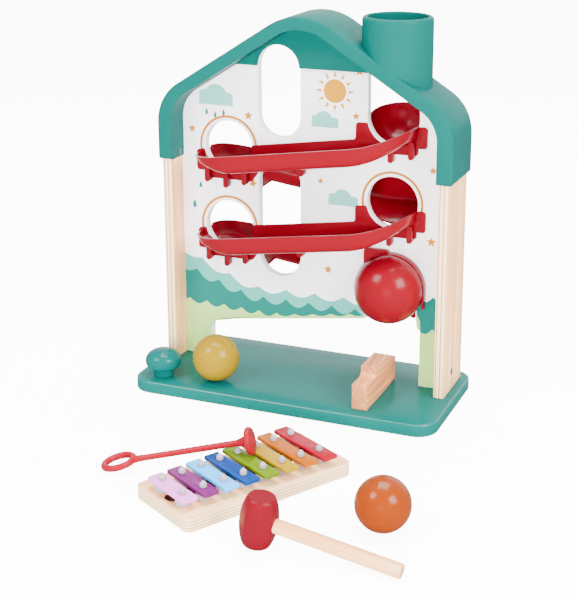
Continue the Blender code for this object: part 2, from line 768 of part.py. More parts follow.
def dome_profile(radius, collar):
    """Shell of a round cup with a straight collar, from its pole down outside and up inside."""
    quarter = [math.radians(18 * step) for step in range(6)]
    inside = radius - DOME_WALL
    outer = [(radius * math.sin(a), collar + radius * math.cos(a)) for a in quarter]
    inner = [(inside * math.sin(a), collar + inside * math.cos(a)) for a in reversed(quarter)]
    return outer + [(radius, 0), (inside, 0)] + inner


def make_scoop():
    mesh = turned_mesh("top_scoop", dome_profile(SCOOP_RADIUS, SCOOP_COLLAR), 24)
    place_y = PANEL_BACK + GAP
    scoop = place(
        "top_scoop", mesh, RED_PLASTIC, (HOLE_OUT, place_y, hole_z(0)), (math.radians(-90), 0, 0))
    size = 4 * SCOOP_RADIUS
    lid = box_mesh("scoop_mouth", (size, size, size))
    for vertex in lid.vertices:
        vertex.co.z += size / 2
    mouth = (HOLE_OUT, place_y, hole_z(0) - SCOOP_RIM_DROP)
    cut(scoop, tool("scoop_mouth", lid, mouth, (SCOOP_RIM_TILT, 0, 0)))
    return scoop


def make_hood():
    seat = PANEL_FRONT - GAP
    mesh = turned_mesh("exit_hood", dome_profile(HOOD_RADIUS, SEAT_THICK), 24)
    hood = place("exit_hood", mesh, RED_PLASTIC, (HOOD_X, seat - HOOD_COLLAR, HOOD_Z), UPRIGHT)
    outside = HOOD_RADIUS + HOOD_LIP
    inside = outside - DOME_WALL
    arc = [math.pi * step / 12 for step in range(13)]
    outer = [Vector((outside * math.cos(a), outside * math.sin(a))) for a in arc]
    inner = [Vector((inside * math.cos(a), inside * math.sin(a))) for a in reversed(arc)]
    legs = [Vector((-outside, -HOOD_LEG)), Vector((-inside, -HOOD_LEG))]
    ends = [Vector((inside, -HOOD_LEG)), Vector((outside, -HOOD_LEG))]
    collar = flat_mesh("hood_collar", [outer + legs + inner + ends], HOOD_COLLAR + SEAT_THICK / 2)
    collar_y = seat - (HOOD_COLLAR + SEAT_THICK / 2) / 2
    join(hood, tool("hood_collar", collar, (HOOD_X, collar_y, HOOD_Z), UPRIGHT))
    tab = box_outline(-HOOD_TAB_OUT, HOOD_TAB_LOW, -DOME_WALL, HOOD_TAB_TOP, EAR_ROUND)
    corner = flat_mesh("hood_tab", [tab], HOOD_COLLAR - DOME_WALL)
    dome = turned_mesh("hood_room", rod_profile(inside + GAP, HOOD_COLLAR + PASS, -PASS), 24)
    corner_piece = tool("hood_tab", corner, (HOOD_X, seat - (HOOD_COLLAR - DOME_WALL) / 2, HOOD_Z), UPRIGHT)
    cut(corner_piece, tool("hood_room", dome, (HOOD_X, seat, HOOD_Z), UPRIGHT))
    join(hood, corner_piece)
    return hood


def make_block():
    length = BLOCK_FRONT_STEP + BLOCK_CREST + BLOCK_BACK_STEP
    back = BLOCK_FRONT_STEP + BLOCK_CREST
    outline = rounded([
        (0, 0, 0),
        (length, 0, 0),
        (length, BLOCK_STEP_HEIGHT, 0),
        (back, BLOCK_STEP_HEIGHT, BLOCK_COVE),
        (back, BLOCK_HEIGHT, 0),
        (BLOCK_FRONT_STEP, BLOCK_HEIGHT, 0),
        (BLOCK_FRONT_STEP, BLOCK_STEP_HEIGHT, BLOCK_COVE),
        (0, BLOCK_STEP_HEIGHT, 0),
    ])
    front = -BASE_DEPTH / 2 + BLOCK_FRONT_INSET
    mesh = flat_mesh("stepped_block", [outline], BLOCK_WIDTH)
    return place("stepped_block", mesh, BEECH, (BLOCK_X, front, BASE_THICK + GAP), SIDEWAYS)


def make_knob():
    neck = KNOB_NECK_DIAMETER / 2
    cap = KNOB_CAP_DIAMETER / 2
    top = KNOB_NECK_HEIGHT + KNOB_CAP_HEIGHT
    rim = KNOB_NECK_HEIGHT + KNOB_CAP_HEIGHT * 0.38
    crown = [math.radians(15 * step) for step in range(7)]
    profile = [(cap * math.sin(a), rim + (top - rim) * math.cos(a)) for a in crown]
    profile += [
        (cap * 0.97, rim - KNOB_CAP_HEIGHT * 0.18),
        (cap * 0.86, KNOB_NECK_HEIGHT + KNOB_CAP_HEIGHT * 0.04),
        (neck * 1.08, KNOB_NECK_HEIGHT),
        (neck, KNOB_NECK_HEIGHT * 0.7),
        (neck, 0),
        (0, 0),
    ]
    x = -BASE_LENGTH / 2 + KNOB_INSET_X
    y = -BASE_DEPTH / 2 + KNOB_INSET_Y
    mesh = turned_mesh("mushroom_knob", profile, 24)
    return place("mushroom_knob", mesh, TEAL_LACQUER, (x, y, BASE_THICK + GAP))


def make_ball(name, material, x, y, floor):
    mesh = bpy.data.meshes.new(name)
    shape = bmesh.new()
    bmesh.ops.create_uvsphere(shape, u_segments=22, v_segments=11, radius=BALL_DIAMETER / 2)
    shape.to_mesh(mesh)
    shape.free()
    mesh.shade_smooth()
    return place(name, mesh, material, (x, y, floor + BALL_DIAMETER / 2))


def fasten_house(base, posts, panel, roof, knob, block):
    along = POST_DEPTH / 2 - POST_SCREW_INSET
    for side_name, side, post in (("left", -1, posts[0]), ("right", 1, posts[1])):
        for end_name, end in (("front", -1), ("rear", 1)):
            spot = (side * POST_X, POST_Y + end * along, 0)
            name = side_name + "_post_" + end_name + "_screw"
            drive_screw(name, spot, FROM_BELOW, POST_SCREW_LENGTH, (base, post))
        into = FROM_LEFT if side < 0 else FROM_RIGHT
        outward = FROM_RIGHT if side < 0 else FROM_LEFT
        leg_face = side * (ROOF_WIDTH / 2 - ROOF_LEG)
        spot = (leg_face, PANEL_FRONT - ROOF_SCREW_AHEAD, EAVES_Z + ROOF_SCREW_RISE)
        drive_screw(side_name + "_roof_screw", spot, outward, ROOF_SCREW_LENGTH, (roof, post))
        post_face = side * (POST_SPAN / 2 + POST_THICK)
        spot = (post_face, PANEL_FRONT + PANEL_THICK / 2, BASE_THICK + PANEL_SCREW_RISE)
        drive_screw(side_name + "_panel_screw", spot, into, PANEL_SCREW_LENGTH, (post, panel))
    drive_screw(
        "knob_screw", (knob.location.x, knob.location.y, 0), FROM_BELOW, KNOB_SCREW_LENGTH, (base, knob))
    ends = (BLOCK_FRONT_STEP / 2, BLOCK_FRONT_STEP + BLOCK_CREST + BLOCK_BACK_STEP / 2)
    for end_name, end in zip(("front", "rear"), ends):
        spot = (BLOCK_X, -BASE_DEPTH / 2 + BLOCK_FRONT_INSET + end, 0)
        drive_screw("block_" + end_name + "_screw", spot, FROM_BELOW, BLOCK_SCREW_LENGTH, (base, block))


def bar_place(index):
    return -BOARD_LENGTH / 2 + FIRST_BAR_INSET + index * BAR_PITCH


def bar_length(index):
    return SHORT_BAR + (LONG_BAR - SHORT_BAR) * index / (len(BAR_COLOURS) - 1)


def make_board(frame):
    outline = box_outline(
        -BOARD_LENGTH / 2, -BOARD_WIDTH / 2, BOARD_LENGTH / 2, BOARD_WIDTH / 2, BOARD_CORNER)
    mesh = flat_mesh("xylophone_board", [outline], BOARD_THICK)
    board = place("xylophone_board", mesh, PLY, (0, 0, BOARD_THICK / 2), parent=frame)
    round_edges(board, BOARD_EDGE, 1)
    low = bar_place(0) - SLOT_END
    high = bar_place(len(BAR_COLOURS) - 1) + SLOT_END
    slot = rounded([
        (low, -SLOT_SHORT_WIDTH / 2, SLOT_SHORT_WIDTH * 0.45),
        (high, -SLOT_LONG_WIDTH / 2, SLOT_LONG_WIDTH * 0.45),
        (high, SLOT_LONG_WIDTH / 2, SLOT_LONG_WIDTH * 0.45),
        (low, SLOT_SHORT_WIDTH / 2, SLOT_SHORT_WIDTH * 0.45),
    ])
    through = flat_mesh("resonator_slot", [slot], BOARD_THICK + 2 * PASS)
    cut(board, tool("resonator_slot", through, (0, 0, BOARD_THICK / 2), parent=frame))
    spots = []
    for index in range(len(BAR_COLOURS)):
        offset = STUD_SHARE * bar_length(index) / 2
        spots += [(bar_place(index), -offset), (bar_place(index), offset)]
    pin = STUD_NECK_DIAMETER / 2 + GAP
    depth = STUD_PIN_DEPTH + GAP + PASS
    bores = flat_mesh("stud_bores", [circle(x, y, pin, 8) for x, y in spots], depth)
    height = BOARD_THICK - STUD_PIN_DEPTH - GAP + depth / 2
    cut(board, tool("stud_bores", bores, (0, 0, height), parent=frame))
    return board


def make_bar(index, frame):
    name = "bar_" + BAR_COLOURS[index]
    length = bar_length(index)
    offset = STUD_SHARE * length / 2
    outline = box_outline(
        -BAR_WIDTH / 2, -length / 2, BAR_WIDTH / 2, length / 2, BAR_THICK / 2, SMALL_ARC_STEP)
    bore = STUD_NECK_DIAMETER / 2 + GAP
    bores = [circle(0, -offset, bore, 8), circle(0, offset, bore, 8)]
    mesh = flat_mesh(name, [outline] + bores, BAR_THICK)
    middle = (bar_place(index), 0, BAR_FLOOR + BAR_THICK / 2)
    place(name, mesh, BAR_PAINTS[BAR_COLOURS[index]], middle, parent=frame)
    foot = BOARD_THICK + GAP
    neck = STUD_NECK_DIAMETER / 2
    head = BAR_TOP + GAP
    profile = [
        (0, head + STUD_HEAD_HEIGHT),
        (STUD_HEAD_DIAMETER * 0.3, head + STUD_HEAD_HEIGHT * 0.85),
        (STUD_HEAD_DIAMETER / 2, head + STUD_HEAD_HEIGHT * 0.45),
        (STUD_HEAD_DIAMETER / 2, head),
        (neck, head),
        (neck, BAR_FLOOR - GAP),
        (STUD_FOOT_DIAMETER / 2, BAR_FLOOR - GAP),
        (STUD_FOOT_DIAMETER / 2, foot),
        (neck, foot),
        (neck, BOARD_THICK - STUD_PIN_DEPTH),
        (0, BOARD_THICK - STUD_PIN_DEPTH),
    ]
    for end_name, end in (("near", -1), ("far", 1)):
        stud_name = "stud_" + BAR_COLOURS[index] + "_" + end_name
        mesh = turned_mesh(stud_name, profile, 8)
        place(stud_name, mesh, GREY_PLASTIC, (bar_place(index), end * offset, 0), parent=frame)


def make_mallet(frame):
    """One moulding: disc head on the bars, shaft down over their ends, ring on the floor."""
    wire = MALLET_RING_WIRE / 2
    head = Vector((MALLET_HEAD_ALONG, MALLET_HEAD_ACROSS))
    ring = Vector((MALLET_RING_ALONG, MALLET_RING_ACROSS))
    run = (ring - head).length
    rest = BAR_TOP + GAP + MALLET_HEAD_DIAMETER / 2
    drop = math.atan2(rest - wire, run)
    rest = BAR_TOP + GAP + MALLET_HEAD_DIAMETER / 2 * math.cos(drop)
    rest += MALLET_HEAD_THICK / 2 * math.sin(drop)
    drop = math.atan2(rest - wire - MALLET_RING_DIAMETER / 2 * math.sin(drop), run)
    heading = math.atan2(ring.y - head.y, ring.x - head.x)
    turn = (0, drop, heading)
    reach = run / math.cos(drop)

    radius = MALLET_HEAD_DIAMETER / 2
    half = MALLET_HEAD_THICK / 2
    profile = [
        (0, MALLET_FLARE),
        (MALLET_SHAFT_DIAMETER * 0.55, MALLET_FLARE),
        (radius * 0.40, half + MALLET_FLARE * 0.22),
        (radius * 0.82, half),
        (radius, half * 0.35),
        (radius, -half * 0.35),
        (radius * 0.82, -half),
        (0, -half),
    ]
    along = (0, math.radians(90), 0)
    mallet_frame = bpy.data.objects.new("mallet_frame", None)
    PARTS.objects.link(mallet_frame)
    mallet_frame.parent = frame
    mallet_frame.location = (head.x, head.y, rest)
    mallet_frame.rotation_euler = turn
    disc = turned_mesh("mallet", profile, 20)
    mallet = place("mallet", disc, RED_PLASTIC, rotation=along, parent=mallet_frame)

    shaft = rod_profile(MALLET_SHAFT_DIAMETER / 2, reach - MALLET_RING_DIAMETER / 2 - wire / 4, 0)
    shaft_mesh = turned_mesh("mallet_shaft", shaft, 10)
    join(mallet, tool("mallet_shaft", shaft_mesh, (0, 0, 0), along, mallet_frame))

    bpy.ops.mesh.primitive_torus_add(
        major_radius=MALLET_RING_DIAMETER / 2, minor_radius=wire, major_segments=24, minor_segments=8)
    loop = bpy.context.object.data
    bpy.data.objects.remove(bpy.context.object, do_unlink=True)
    join(mallet, tool("mallet_ring", loop, (reach, 0, 0), parent=mallet_frame))
    return mallet


def make_hammer():
    """Barrel head tipped on the edge of one face, with its handle's far end on the floor."""
    half = HAMMER_LENGTH / 2
    face = HAMMER_FACE_DIAMETER / 2
    bulge = HAMMER_BULGE_DIAMETER / 2
    grip = HANDLE_DIAMETER / 2
    tip = math.atan2(half - grip, HANDLE_REACH - face)
    rise = face * math.sin(tip) + half * math.cos(tip)
    frame = bpy.data.objects.new("hammer_frame", None)
    PARTS.objects.link(frame)
    frame.location = (HAMMER_X, HAMMER_Y, rise)
    frame.rotation_euler = (0, tip, HAMMER_TURN)

    heights = [half * (0.9 - 0.3 * step) for step in range(7)]
    sides = [(face + (bulge - face) * (1 - (z / half) ** 2) ** 0.7, z) for z in heights]
    profile = [(0, half), (face, half)] + sides + [(face, -half), (0, -half)]
    head = place("hammer_head", turned_mesh("hammer_head", profile, 24), RED_PLASTIC, parent=frame)
    along = (0, math.radians(90), 0)
    socket = rod_profile(grip + GAP, bulge + PASS, -HANDLE_SOCKET - GAP)
    cut(head, tool("handle_socket", turned_mesh("handle_socket", socket, 16), (0, 0, 0), along, frame))
    stick = [
        (0, HANDLE_REACH),
        (grip * 0.8, HANDLE_REACH),
        (grip, HANDLE_REACH - grip * 0.2),
        (grip, -HANDLE_SOCKET),
        (0, -HANDLE_SOCKET),
    ]
    place("hammer_handle", turned_mesh("hammer_handle", stick, 16), DOWEL, rotation=along, parent=frame)


def make_house():
    base = make_base()
    posts = (make_post("left_post", -1), make_post("right_post", 1))
    upper_window = window_cutter("upper_window", UPPER_WINDOW_Z)
    lower_window = window_cutter("lower_window", LOWER_WINDOW_Z)
    panel = make_panel(upper_window, lower_window)
    roof = make_roof(upper_window)
    view = ball_view()
    make_track("upper_front_track", 0, None)
    make_track("upper_back_track", 1, view)
    make_track("lower_front_track", 2, None)
    make_track("lower_back_track", 3, view)
    make_scoop()
    make_hood()
    block = make_block()
    knob = make_knob()
    fasten_house(base, posts, panel, roof, knob, block)


def make_xylophone():
    frame = bpy.data.objects.new("xylophone_frame", None)
    PARTS.objects.link(frame)
    frame.location = (XYLO_X, XYLO_Y, 0)
    frame.rotation_euler = (0, 0, XYLO_TURN)
    make_board(frame)
    for index in range(len(BAR_COLOURS)):
        make_bar(index, frame)
    make_mallet(frame)


make_house()
make_xylophone()
make_hammer()
make_ball("yellow_ball", YELLOW_PAINT, YELLOW_BALL_X, YELLOW_BALL_Y, BASE_THICK + GAP)
make_ball("orange_ball", ORANGE_PAINT, ORANGE_BALL_X, ORANGE_BALL_Y, 0.0)
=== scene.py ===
import math

import bmesh
import bpy
from mathutils import Matrix, Vector


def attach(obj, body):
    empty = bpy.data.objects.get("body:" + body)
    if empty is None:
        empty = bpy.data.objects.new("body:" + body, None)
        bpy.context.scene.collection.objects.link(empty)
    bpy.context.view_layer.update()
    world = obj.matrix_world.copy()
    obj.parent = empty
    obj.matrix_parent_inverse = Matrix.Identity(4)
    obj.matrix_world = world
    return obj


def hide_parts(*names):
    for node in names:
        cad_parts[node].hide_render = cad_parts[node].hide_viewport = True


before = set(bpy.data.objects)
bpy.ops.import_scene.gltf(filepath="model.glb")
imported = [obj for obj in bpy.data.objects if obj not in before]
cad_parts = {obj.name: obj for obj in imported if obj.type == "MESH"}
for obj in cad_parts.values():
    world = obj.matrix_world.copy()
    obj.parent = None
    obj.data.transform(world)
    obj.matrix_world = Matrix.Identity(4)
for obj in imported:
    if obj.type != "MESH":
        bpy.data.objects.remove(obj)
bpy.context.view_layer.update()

# The studio: a pale seamless floor, soft lights above the left and right shoulders of the camera,
# before it and overhead, a bright backdrop, and the camera where the photographer stood.

PHOTO_WIDTH, PHOTO_HEIGHT, SENSOR_WIDTH = 577, 600, 36.0
FOCAL_PIXELS = 1361.2
CENTRE_RIGHT, CENTRE_UP = 20.0, 90.0
EYE = Vector((0.46442, -1.14316, 0.52810))
LOOKED_AT = Vector((-0.0003, 0.0158, 0.17524))
LIT_SPOT = Vector((0.03, -0.1, 0.12))
BACKDROP_WAY, BACKDROP_EDGE, BACKDROP_DIM, BACKDROP_BRIGHT = (-0.10, 0.93, 0.35), 0.55, 0.9, 2.8
SEEN_SKY, SEEN_FLOOR, FLOOR_HALF = 10.0, 9.0, 6.0
WHITE, PAPER, MIRRORED_PAPER = (1.0, 1.0, 1.0, 1.0), (0.93, 0.93, 0.925, 1.0), (0.12, 0.12, 0.12, 1.0)


def holding(data):
    """A new object in the scene, with the data's name, that holds the data."""
    holder = bpy.data.objects.new(data.name, data)
    bpy.context.scene.collection.objects.link(holder)
    return holder


def aimed(holder, spot, target):
    """Puts a camera or a lamp at the spot and turns it to the target."""
    holder.location = spot
    holder.rotation_euler = (target - Vector(spot)).to_track_quat("-Z", "Y").to_euler()


def plugged(tree, node, links):
    """The shader node with its sockets given a value or another node's socket."""
    for socket, value in links:
        target = node.inputs[socket]
        if isinstance(value, bpy.types.NodeSocket):
            tree.links.new(value, target)
        else:
            target.default_value = value
    return node


def node_of(tree, kind, links=(), **settings):
    node = tree.nodes.new(kind)
    for key, value in settings.items():
        setattr(node, key, value)
    return plugged(tree, node, links)


def maths(tree, operation, *values, **settings):
    return node_of(tree, "ShaderNodeMath", enumerate(values), operation=operation, **settings).outputs["Value"]


def lined_up(tree, vector, way):
    """How far the vector runs one way: their dot product."""
    return node_of(tree, "ShaderNodeVectorMath", enumerate((vector, way)), operation="DOT_PRODUCT").outputs["Value"]


def stretched(tree, value, low, high, to_low=0.0, to_high=1.0, curve="LINEAR"):
    """The value with the range from low to high stretched to another range."""
    links = [("Value", value), ("From Min", low), ("From Max", high), ("To Min", to_low), ("To Max", to_high)]
    return node_of(tree, "ShaderNodeMapRange", links, interpolation_type=curve).outputs["Result"]


def blended(tree, factor, first, second):
    """A colour between two others."""
    links = [("Factor", factor), ("A", first), ("B", second)]
    return node_of(tree, "ShaderNodeMix", links, data_type="RGBA").outputs["Result"]


def new_finish(name):
    finish = bpy.data.materials.new(name)
    finish.use_nodes = True
    return finish, finish.node_tree, finish.node_tree.nodes["Principled BSDF"]


camera = holding(bpy.data.cameras.new("camera"))
longer_side = max(PHOTO_WIDTH, PHOTO_HEIGHT)
camera.data.sensor_width = SENSOR_WIDTH
camera.data.lens = SENSOR_WIDTH * FOCAL_PIXELS / longer_side
camera.data.shift_x = -CENTRE_RIGHT / longer_side
camera.data.shift_y = -CENTRE_UP / longer_side
aimed(camera, EYE, LOOKED_AT)
bpy.context.scene.camera = camera

for light_name, spot, size, power in (
    ("key_light", (-1.1, -1.5, 1.9), 0.9, 72.0),
    ("fill_light", (1.8, -0.9, 1.3), 1.0, 104.0),
    ("front_light", (0.45, -2.0, 0.42), 0.7, 84.0),
    ("top_light", (0.0, 0.3, 2.2), 1.3, 110.0),
):
    lamp = holding(bpy.data.lights.new(light_name, "AREA"))
    lamp.data.shape = "SQUARE"
    lamp.data.size = size
    lamp.data.energy = power
    lamp.visible_camera = False
    lamp.visible_glossy = light_name != "front_light"
    aimed(lamp, spot, LIT_SPOT)

sky = bpy.data.worlds.new("studio_sky")
sky.use_nodes = True
sky_tree = sky.node_tree
sky_way = node_of(sky_tree, "ShaderNodeTexCoord").outputs["Generated"]
sky_glow = stretched(
    sky_tree, lined_up(sky_tree, sky_way, BACKDROP_WAY), BACKDROP_EDGE, 1.0, BACKDROP_DIM, BACKDROP_BRIGHT,
    "SMOOTHSTEP")
sky_seen = node_of(sky_tree, "ShaderNodeLightPath").outputs["Is Camera Ray"]
sky_power = node_of(sky_tree, "ShaderNodeMix", [("Factor", sky_seen), ("A", sky_glow), ("B", SEEN_SKY)])
plugged(sky_tree, sky_tree.nodes["Background"], [("Color", WHITE), ("Strength", sky_power.outputs["Result"])])
bpy.context.scene.world = sky

floor_mesh = bpy.data.meshes.new("studio_floor")
floor_shape = bmesh.new()
bmesh.ops.create_grid(floor_shape, x_segments=2, y_segments=2, size=FLOOR_HALF)
floor_shape.to_mesh(floor_mesh)
floor_shape.free()
studio_floor = holding(floor_mesh)
floor_paper, paper_tree, paper = new_finish("floor_paper")
paper_path = node_of(paper_tree, "ShaderNodeLightPath").outputs
plugged(paper_tree, paper, [
    ("Base Color", blended(paper_tree, paper_path["Is Glossy Ray"], PAPER, MIRRORED_PAPER)), ("Roughness", 0.9),
    ("Emission Color", WHITE),
    ("Emission Strength", maths(paper_tree, "MULTIPLY", paper_path["Is Camera Ray"], SEEN_FLOOR))])
floor_mesh.materials.append(floor_paper)


# Base board: a fibreboard slab with round corners, sprayed satin teal. Its edge is eased all
# round, and screws from below hold the posts, the block and the knob.

BASE_LENGTH, BASE_DEPTH, BASE_THICK = 0.305, 0.141, 0.012
BASE_CORNER, BASE_EASE, BASE_BORE = 0.020, 0.0018, 0.015
BASE_TEAL, BLACK = (0.0002, 0.108, 0.094, 1.0), (0.0, 0.0, 0.0, 1.0)
EDGE_STEEP, EDGE_FLAT = 0.15, 0.97
WELD, PEEL_DEPTH = 1e-6, 0.001
SCREW_HEAD, SCREW_SHANK, SCREW_CONE, SCREW_SINK, SCREW_ROOM = 0.0033, 0.0017, 0.0022, 0.0004, 0.0003
POST_ACROSS, POST_MIDDLE, POST_SCREW_STEP, POST_SCREW = 0.1388, 0.0238, 0.0175, 0.034
KNOB_X, KNOB_Y, KNOB_SCREW = -0.1267, -0.0485, 0.026
BLOCK_X, BLOCK_SCREW_FRONT, BLOCK_SCREW_REAR, BLOCK_SCREW = 0.079, -0.0448, 0.0142, 0.028
BASE_SCREWS = {
    "left_post_front_screw": (-POST_ACROSS, POST_MIDDLE - POST_SCREW_STEP, POST_SCREW),
    "left_post_rear_screw": (-POST_ACROSS, POST_MIDDLE + POST_SCREW_STEP, POST_SCREW),
    "right_post_front_screw": (POST_ACROSS, POST_MIDDLE - POST_SCREW_STEP, POST_SCREW),
    "right_post_rear_screw": (POST_ACROSS, POST_MIDDLE + POST_SCREW_STEP, POST_SCREW),
    "knob_screw": (KNOB_X, KNOB_Y, KNOB_SCREW),
    "block_front_screw": (BLOCK_X, BLOCK_SCREW_FRONT, BLOCK_SCREW),
    "block_rear_screw": (BLOCK_X, BLOCK_SCREW_REAR, BLOCK_SCREW),
}


def rounded_outline(corners, fineness=math.radians(7)):
    """Closed outline through (x, y, radius) corners, each one turned into an arc."""
    outline = []
    for index, (x, y, radius) in enumerate(corners):
        here = Vector((x, y))
        before = (Vector(corners[index - 1][:2]) - here).normalized()
        after = (Vector(corners[(index + 1) % len(corners)][:2]) - here).normalized()
        if radius == 0:
            outline.append(here)
            continue
        half = before.angle(after) / 2
        middle = here + (before + after).normalized() * (radius / math.sin(half))
        start = here + before * (radius / math.tan(half)) - middle
        turn = math.pi - 2 * half
        side = 1 if before.x * after.y - before.y * after.x < 0 else -1
        steps = max(3, math.ceil(turn / fineness))
        for step in range(steps + 1):
            spoke = start.copy()
            spoke.rotate(Matrix.Rotation(side * turn * step / steps, 2))
            outline.append(middle + spoke)
    pairs = zip(outline, outline[-1:] + outline[:-1])
    return [point for point, last in pairs if (point - last).length > WELD]


def box_outline(low_x, low_y, high_x, high_y, radius):
    corners = ((low_x, low_y), (high_x, low_y), (high_x, high_y), (low_x, high_y))
    return rounded_outline([(x, y, radius) for x, y in corners])


def slab_outline(length, width, radius):
    return box_outline(-length / 2, -width / 2, length / 2, width / 2, radius)


def baked_mesh(holder):
    """The object's mesh with its modifiers applied; the object itself is removed."""
    bpy.context.view_layer.update()
    graph = bpy.context.evaluated_depsgraph_get()
    mesh = bpy.data.meshes.new_from_object(holder.evaluated_get(graph), depsgraph=graph)
    bpy.data.objects.remove(holder, do_unlink=True)
    return mesh


def filled_mesh(mesh, shape):
    """The mesh filled from a working shape, its faces turned outward."""
    bmesh.ops.recalc_face_normals(shape, faces=shape.faces)
    shape.to_mesh(mesh)
    shape.free()
    return mesh


def eased(mesh, width, segments=3, angle=35, clamp=False):
    """The mesh with its sharp edges rounded over."""
    holder = holding(mesh)
    bevel = holder.modifiers.new("eased_edge", "BEVEL")
    bevel.width = width
    bevel.segments = segments
    bevel.limit_method = "ANGLE"
    bevel.angle_limit = math.radians(angle)
    bevel.use_clamp_overlap = clamp
    return baked_mesh(holder)


def sheet_mesh(name, outlines, thick, ease=0.0):
    """A flat board cut to the outlines, lying on its own XY plane; inner outlines are holes."""
    curve = bpy.data.curves.new(name, "CURVE")
    curve.dimensions = "2D"
    curve.fill_mode = "BOTH"
    curve.extrude = thick / 2
    for outline in outlines:
        spline = curve.splines.new("POLY")
        spline.points.add(len(outline) - 1)
        for point, (x, y) in zip(spline.points, outline):
            point.co = (x, y, 0.0, 1.0)
        spline.use_cyclic_u = True
    mesh = baked_mesh(holding(curve))
    mesh.name = name
    shape = bmesh.new()
    shape.from_mesh(mesh)
    bmesh.ops.remove_doubles(shape, verts=shape.verts, dist=WELD)
    bmesh.ops.dissolve_limit(
        shape, angle_limit=math.radians(0.5), verts=shape.verts, edges=shape.edges, use_dissolve_boundaries=False)
    mesh = filled_mesh(mesh, shape)
    return eased(mesh, ease) if ease else mesh


def turned_mesh(name, profile, steps):
    """A solid turned on the Z axis, from (radius, height) points listed from top to foot."""
    shape = bmesh.new()
    rings = []
    for radius, height in profile:
        spokes = 1 if radius < WELD / 10 else steps
        turns = [math.tau * step / spokes for step in range(spokes)]
        rings.append([shape.verts.new((radius * math.cos(t), radius * math.sin(t), height)) for t in turns])
    for upper, lower in zip(rings, rings[1:]):
        for step in range(steps):
            after = step + 1
            loop = (upper[step % len(upper)], lower[step % len(lower)],
                    lower[after % len(lower)], upper[after % len(upper)])
            corners = list(dict.fromkeys(loop))
            if len(corners) > 2:
                shape.faces.new(corners)
    return filled_mesh(bpy.data.meshes.new(name), shape)


def moved(mesh, matrix):
    mesh.transform(matrix)
    return mesh


def worked(mesh, others, operation="DIFFERENCE"):
    """The mesh with the other meshes cut out of it, or fused to it."""
    holder = holding(mesh)
    tools = [holding(other) for other in others]
    for tool in tools:
        change = holder.modifiers.new("worked", "BOOLEAN")
        change.operation = operation
        change.solver = "EXACT"
        change.object = tool
    made = baked_mesh(holder)
    for tool in tools:
        bpy.data.objects.remove(tool, do_unlink=True)
    return made


def finished(mesh, name, finish, body, node=None, crisp=38, edge_finish=None):
    """A piece of the object: smooth shaded, finished, and riding on its CAD body."""
    mesh.name = name
    mesh.shade_smooth()
    mesh.set_sharp_from_angle(angle=math.radians(crisp))
    mesh.materials.clear()
    mesh.materials.append(finish)
    if edge_finish:
        mesh.materials.append(edge_finish)
        for face in mesh.polygons:
            face.material_index = 1 if EDGE_STEEP < abs(face.normal.z) < EDGE_FLAT else 0
    piece = holding(mesh)
    piece.name = name
    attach(piece, body)
    if node:
        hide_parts(node)
    return piece


def new_group(name, inputs, outputs):
    """An empty shader node group with named sockets, its input sockets and its output node."""
    group = bpy.data.node_groups.new(name, "ShaderNodeTree")
    for socket, kind, value in inputs:
        made = group.interface.new_socket(socket, in_out="INPUT", socket_type=kind)
        made.default_value = value
    for socket, kind in outputs:
        group.interface.new_socket(socket, in_out="OUTPUT", socket_type=kind)
    return group, group.nodes.new("NodeGroupInput").outputs, group.nodes.new("NodeGroupOutput")


def placed_group(tree, group, **values):
    return node_of(tree, "ShaderNodeGroup", values.items(), node_tree=group).outputs


def noise(tree, where, scale, detail, **more):
    links = [("Vector", where), ("Scale", scale), ("Detail", detail), *more.items()]
    return node_of(tree, "ShaderNodeTexNoise", links).outputs["Fac"]


def bumped(tree, height, strength, distance):
    links = [("Height", height), ("Strength", strength), ("Distance", distance)]
    return node_of(tree, "ShaderNodeBump", links).outputs["Normal"]


sprayed, sprayed_in, sprayed_out = new_group(
    "sprayed_film",
    [("Colour", "NodeSocketColor", (1, 1, 1, 1)), ("Shade", "NodeSocketFloat", 0.12),
     ("Gloss", "NodeSocketFloat", 0.35), ("Peel", "NodeSocketFloat", 900.0)],
    [("Colour", "NodeSocketColor"), ("Roughness", "NodeSocketFloat"), ("Height", "NodeSocketFloat")])
where = node_of(sprayed, "ShaderNodeTexCoord").outputs["Object"]
cloud = noise(sprayed, where, 38.0, 4.0)
rubbed = noise(sprayed, where, 160.0, 5.0, Roughness=0.7)
darker = blended(sprayed, sprayed_in["Shade"], sprayed_in["Colour"], BLACK)
plugged(sprayed, sprayed_out, [
    ("Colour", blended(sprayed, cloud, darker, sprayed_in["Colour"])),
    ("Roughness", maths(sprayed, "MULTIPLY_ADD", rubbed, 0.16, sprayed_in["Gloss"])),
    ("Height", noise(sprayed, where, sprayed_in["Peel"], 2.0))])


def film_finish(name, colour, gloss, shade=0.12, peel=900.0, depth=0.04, shine=0.12):
    """Paint or a moulded skin: one colour, slightly clouded, with a fine peel in the gloss."""
    finish, tree, shader = new_finish(name)
    film = placed_group(tree, sprayed, Colour=colour, Shade=shade, Gloss=gloss, Peel=peel)
    plugged(tree, shader, [
        ("Base Color", film["Colour"]), ("Roughness", film["Roughness"]), ("Specular IOR Level", shine),
        ("Normal", bumped(tree, film["Height"], depth, PEEL_DEPTH))])
    return finish


def driven(mesh, spot, inward):
    """The mesh of a screw or of its bore, head outward, turned and moved to where it is driven."""
    turn = Vector((0, 0, -1)).rotation_difference(Vector(inward)).to_matrix().to_4x4()
    return moved(mesh, Matrix.Translation(Vector(spot) + Vector(inward) * SCREW_SINK) @ turn)


